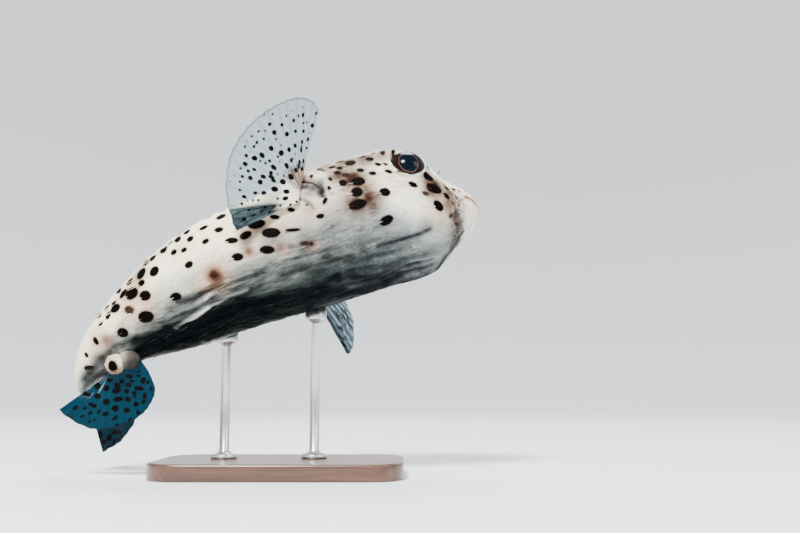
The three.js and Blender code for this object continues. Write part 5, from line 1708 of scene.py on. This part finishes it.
def build_rod(name):
    """A rod with a flange, and a cup whose inside follows the body 0.3 mm below it."""
    x, y, top = RODS[name]
    bottom = BASE_SIZE[2] + GAP
    foot = top - CUP_HEIGHT
    profile = [(0, bottom), (FLANGE_RADIUS - 0.0004, bottom), (FLANGE_RADIUS, bottom + 0.0004),
               (FLANGE_RADIUS, bottom + FLANGE_HEIGHT - 0.0006),
               (FLANGE_RADIUS - 0.0006, bottom + FLANGE_HEIGHT)]
    for t in np.linspace(0, 1, 6):
        radius = mix(FLANGE_RADIUS - 0.001, ROD_RADIUS, t ** 0.5)
        profile.append((radius, bottom + FLANGE_HEIGHT * (1 + t)))
    profile.append((ROD_RADIUS, foot))
    for t in np.linspace(0.15, 1, 8):
        swell = math.sin(t * math.pi / 2)
        profile.append((mix(ROD_RADIUS, CUP_RADIUS, swell), foot + CUP_RISE * t))
    profile.append((CUP_RADIUS, foot + CUP_RISE + 0.0005))
    inside = [(CUP_RADIUS * share, 0) for share in (1, *np.linspace(0.93, 0.12, CUP_RINGS), 0)]
    points, faces = spun(profile + inside, ROD_STEPS)
    first_top = (len(profile) - 1) * ROD_STEPS
    body_side = np.arange(len(points)) >= first_top
    body_side[-2] = False
    for i in np.flatnonzero(body_side):
        start = Vector(in_fish(np.array([x + points[i, 0], y + points[i, 1], foot])))
        hit = TARGET.ray_cast(start, Vector(FISH_TURN.T @ np.array([0, 0, 1.0])))[0]
        level = on_stand(np.array(hit))[2] - GAP if hit is not None else top + CUP_HEIGHT
        points[i, 2] = min(max(level, foot + CUP_RISE + 0.0006), top + CUP_HEIGHT)
    return make_object(name + "_fine", points + np.array([x, y, 0]), faces)


def wood_material():
    nodes = Nodes("stained wood")
    place = nodes.place()
    grain = nodes.noise(nodes.scaled(place, (4, 60, 60)), 2.2, 6.0, 0.6)
    pores = nodes.noise(nodes.scaled(place, (30, 700, 700)), 1.0, 3.0, 0.7)
    base = nodes.mix(nodes.ramp(grain, 0.3, 0.7), WOOD_DARK, WOOD_RED)
    base = nodes.mix(nodes.ramp(pores, 0.55, 0.75, 0.0, 0.5), base, PORE_DARK)
    nodes.set(Base_Color=base, Roughness=nodes.ramp(grain, 0.3, 0.7, 0.28, 0.42),
              Coat_Weight=0.4, Coat_Roughness=0.15, Normal=nodes.bump(pores, 0.2, 0.0004))
    return nodes.material


def steel_material():
    nodes = Nodes("brushed steel")
    brush = nodes.noise(nodes.scaled(nodes.place(), (900, 900, 30)), 1.0, 4.0, 0.7)
    nodes.set(Base_Color=STEEL, Metallic=1.0,
              Roughness=nodes.ramp(brush, 0.3, 0.7, 0.24, 0.4), Normal=nodes.bump(brush, 0.15, 0.0002))
    return nodes.material


# ---- camera, floor and light

FLOOR_RADIUS, WALL_RADIUS, WALL_HEIGHT = 2.2, 4.2, 5.0
FLOOR_COLOUR = linear(226, 228, 230)
FLOOR_LEVEL, FLOOR_STEPS = -0.0002, 96
WORLD_COLOUR, WORLD_STRENGTH = (0.95, 0.98, 1, 1), 0.5
# Disks of light aimed at the model's middle: place, size in m and watts
LIGHTS = {
    "key": ((-0.6, -1.7, 2.3), 0.7, 240),
    "top": ((0.2, 1.3, 2.7), 1.4, 90),
    "side": ((1.9, -0.9, 1.5), 1.2, 22),
}
LIT_PLACE = Vector((0, 0, 0.17))


def build_camera():
    data = bpy.data.cameras.new("main")
    data.lens, data.sensor_width = CAMERA_LENS, CAMERA_SENSOR
    camera = bpy.data.objects.new("main", data)
    camera.location = CAMERA_PLACE
    camera.rotation_euler = (math.radians(CAMERA_PITCH), 0, 0)
    bpy.context.scene.collection.objects.link(camera)
    bpy.context.scene.camera = camera
    return camera


def build_floor():
    """A wide round floor that curves up into a wall."""
    profile = [(0.6, FLOOR_LEVEL), (FLOOR_RADIUS, FLOOR_LEVEL)]
    rise = WALL_RADIUS - FLOOR_RADIUS
    for turn in np.linspace(0.1, 1, 12) * math.pi / 2:
        profile.append((FLOOR_RADIUS + rise * math.sin(turn), rise * (1 - math.cos(turn))))
    profile.append((WALL_RADIUS, WALL_HEIGHT))
    turn = np.arange(FLOOR_STEPS) * 2 * math.pi / FLOOR_STEPS
    rings = [np.stack([np.cos(turn) * r, np.sin(turn) * r, np.full(FLOOR_STEPS, z)], -1)
             for r, z in profile]
    points = np.concatenate([*rings, [[0, 0, FLOOR_LEVEL]]])
    floor = make_object("floor", points, [
        grid_faces(len(profile), FLOOR_STEPS, closed=True)[:, ::-1],
        fan_faces(len(points) - 1, np.arange(FLOOR_STEPS)),
    ])
    nodes = Nodes("floor")
    nodes.set(Base_Color=FLOOR_COLOUR, Roughness=0.9)
    floor.data.materials.append(nodes.material)
    return floor


def area_light(name, place, size, watts):
    data = bpy.data.lights.new(name, "AREA")
    data.shape = "DISK"
    data.size, data.energy = size, watts
    light = bpy.data.objects.new(name, data)
    light.location = place
    light.rotation_euler = (LIT_PLACE - Vector(place)).to_track_quat("-Z", "Y").to_euler()
    bpy.context.scene.collection.objects.link(light)
    return light


def build_lights():
    world = bpy.data.worlds.new("studio")
    world.use_nodes = True
    sky = world.node_tree.nodes["Background"]
    sky.inputs["Color"].default_value = WORLD_COLOUR
    sky.inputs["Strength"].default_value = WORLD_STRENGTH
    bpy.context.scene.world = world
    return [area_light(name, *settings) for name, settings in LIGHTS.items()]


# ---- the model

FLESH_NODES = ["head", "upper_lip", "lower_lip", "trunk", "tail", "tail_root"]
FIN_SEED = 3


def grown_spots(fin, spots_seen):
    """A tail fin's spots as seen, a little larger."""
    found = [fin_spot_seen(fin, *spot) for spot in spots_seen]
    return [(place, arms * TAIL_SPOT_SCALE) for place, arms in found]


def finish_piece(piece, material, nodes_replaced):
    piece.data.materials.append(material)
    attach(piece, "root")
    if nodes_replaced:
        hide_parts(*nodes_replaced)


def build():
    skin_piece, spots, skin_tones = build_skin()
    skin_look = skin_material()
    finish_piece(skin_piece, skin_look, FLESH_NODES)
    glass = eye_material()
    for side in ORBITS:
        finish_piece(build_eye(side), glass, ["eye_" + side])
    finish_piece(build_lids(), lid_material(), [])
    finish_piece(build_nostrils(), nostril_material(), [])

    random = np.random.default_rng(FIN_SEED)
    right_look = fin_material("right membrane", PECTORAL_SHADES)
    left_look = fin_material("left membrane", LEFT_SHADES)
    tail_look = fin_material("tail membrane", TAIL_SHADES)
    right = pectoral(PECTORAL_FAN, RIGHT_WAYS, 1, lambda angle: angle, RIGHT_FOLDED)
    left = pectoral(LEFT_FAN, LEFT_WAYS, LEFT_REACH, mirrored, LEFT_FOLDED)
    dorsal = tail_side(DORSAL_S, 90, DORSAL_FLAP, DORSAL_RAISE)
    anal = tail_side(ANAL_S, 270, ANAL_FLAP, ANAL_RAISE)
    tail_fin = caudal()
    right_spots = spots_along_rays(right, PECTORAL_SPOTS, RAY_FOOT, SPOT_SCALE)
    left_fin_spots = left_spots(left, random)
    dorsal_spots = scattered(dorsal, SPOT_ROWS[:6], random, DORSAL_LARGEST)
    tail_spots = grown_spots(tail_fin, CAUDAL_SPOTS)
    tail_spots += scattered(tail_fin, CAUDAL_ROWS, random, CAUDAL_LARGEST)
    for name, fin, look, spots_on_fin in (
            ("pectoral_fin_right", right, right_look, right_spots),
            ("pectoral_fin_left", left, left_look, left_fin_spots),
            ("dorsal_fin", dorsal, tail_look, dorsal_spots),
            ("anal_fin", anal, tail_look, grown_spots(anal, ANAL_SPOTS)),
            ("caudal_fin", tail_fin, tail_look, tail_spots)):
        finish_piece(build_fin(name + "_fine", fin, spots_on_fin), look, [name])
    finish_piece(build_lobes(anal), skin_look, [])
    finish_piece(build_spines(spots, skin_tones), spine_material(), [])

    finish_piece(build_base(), wood_material(), ["stand_base"])
    steel = steel_material()
    for name in RODS:
        finish_piece(build_rod(name), steel, [name])

    for thing in (build_camera(), build_floor(), *build_lights()):
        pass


build()
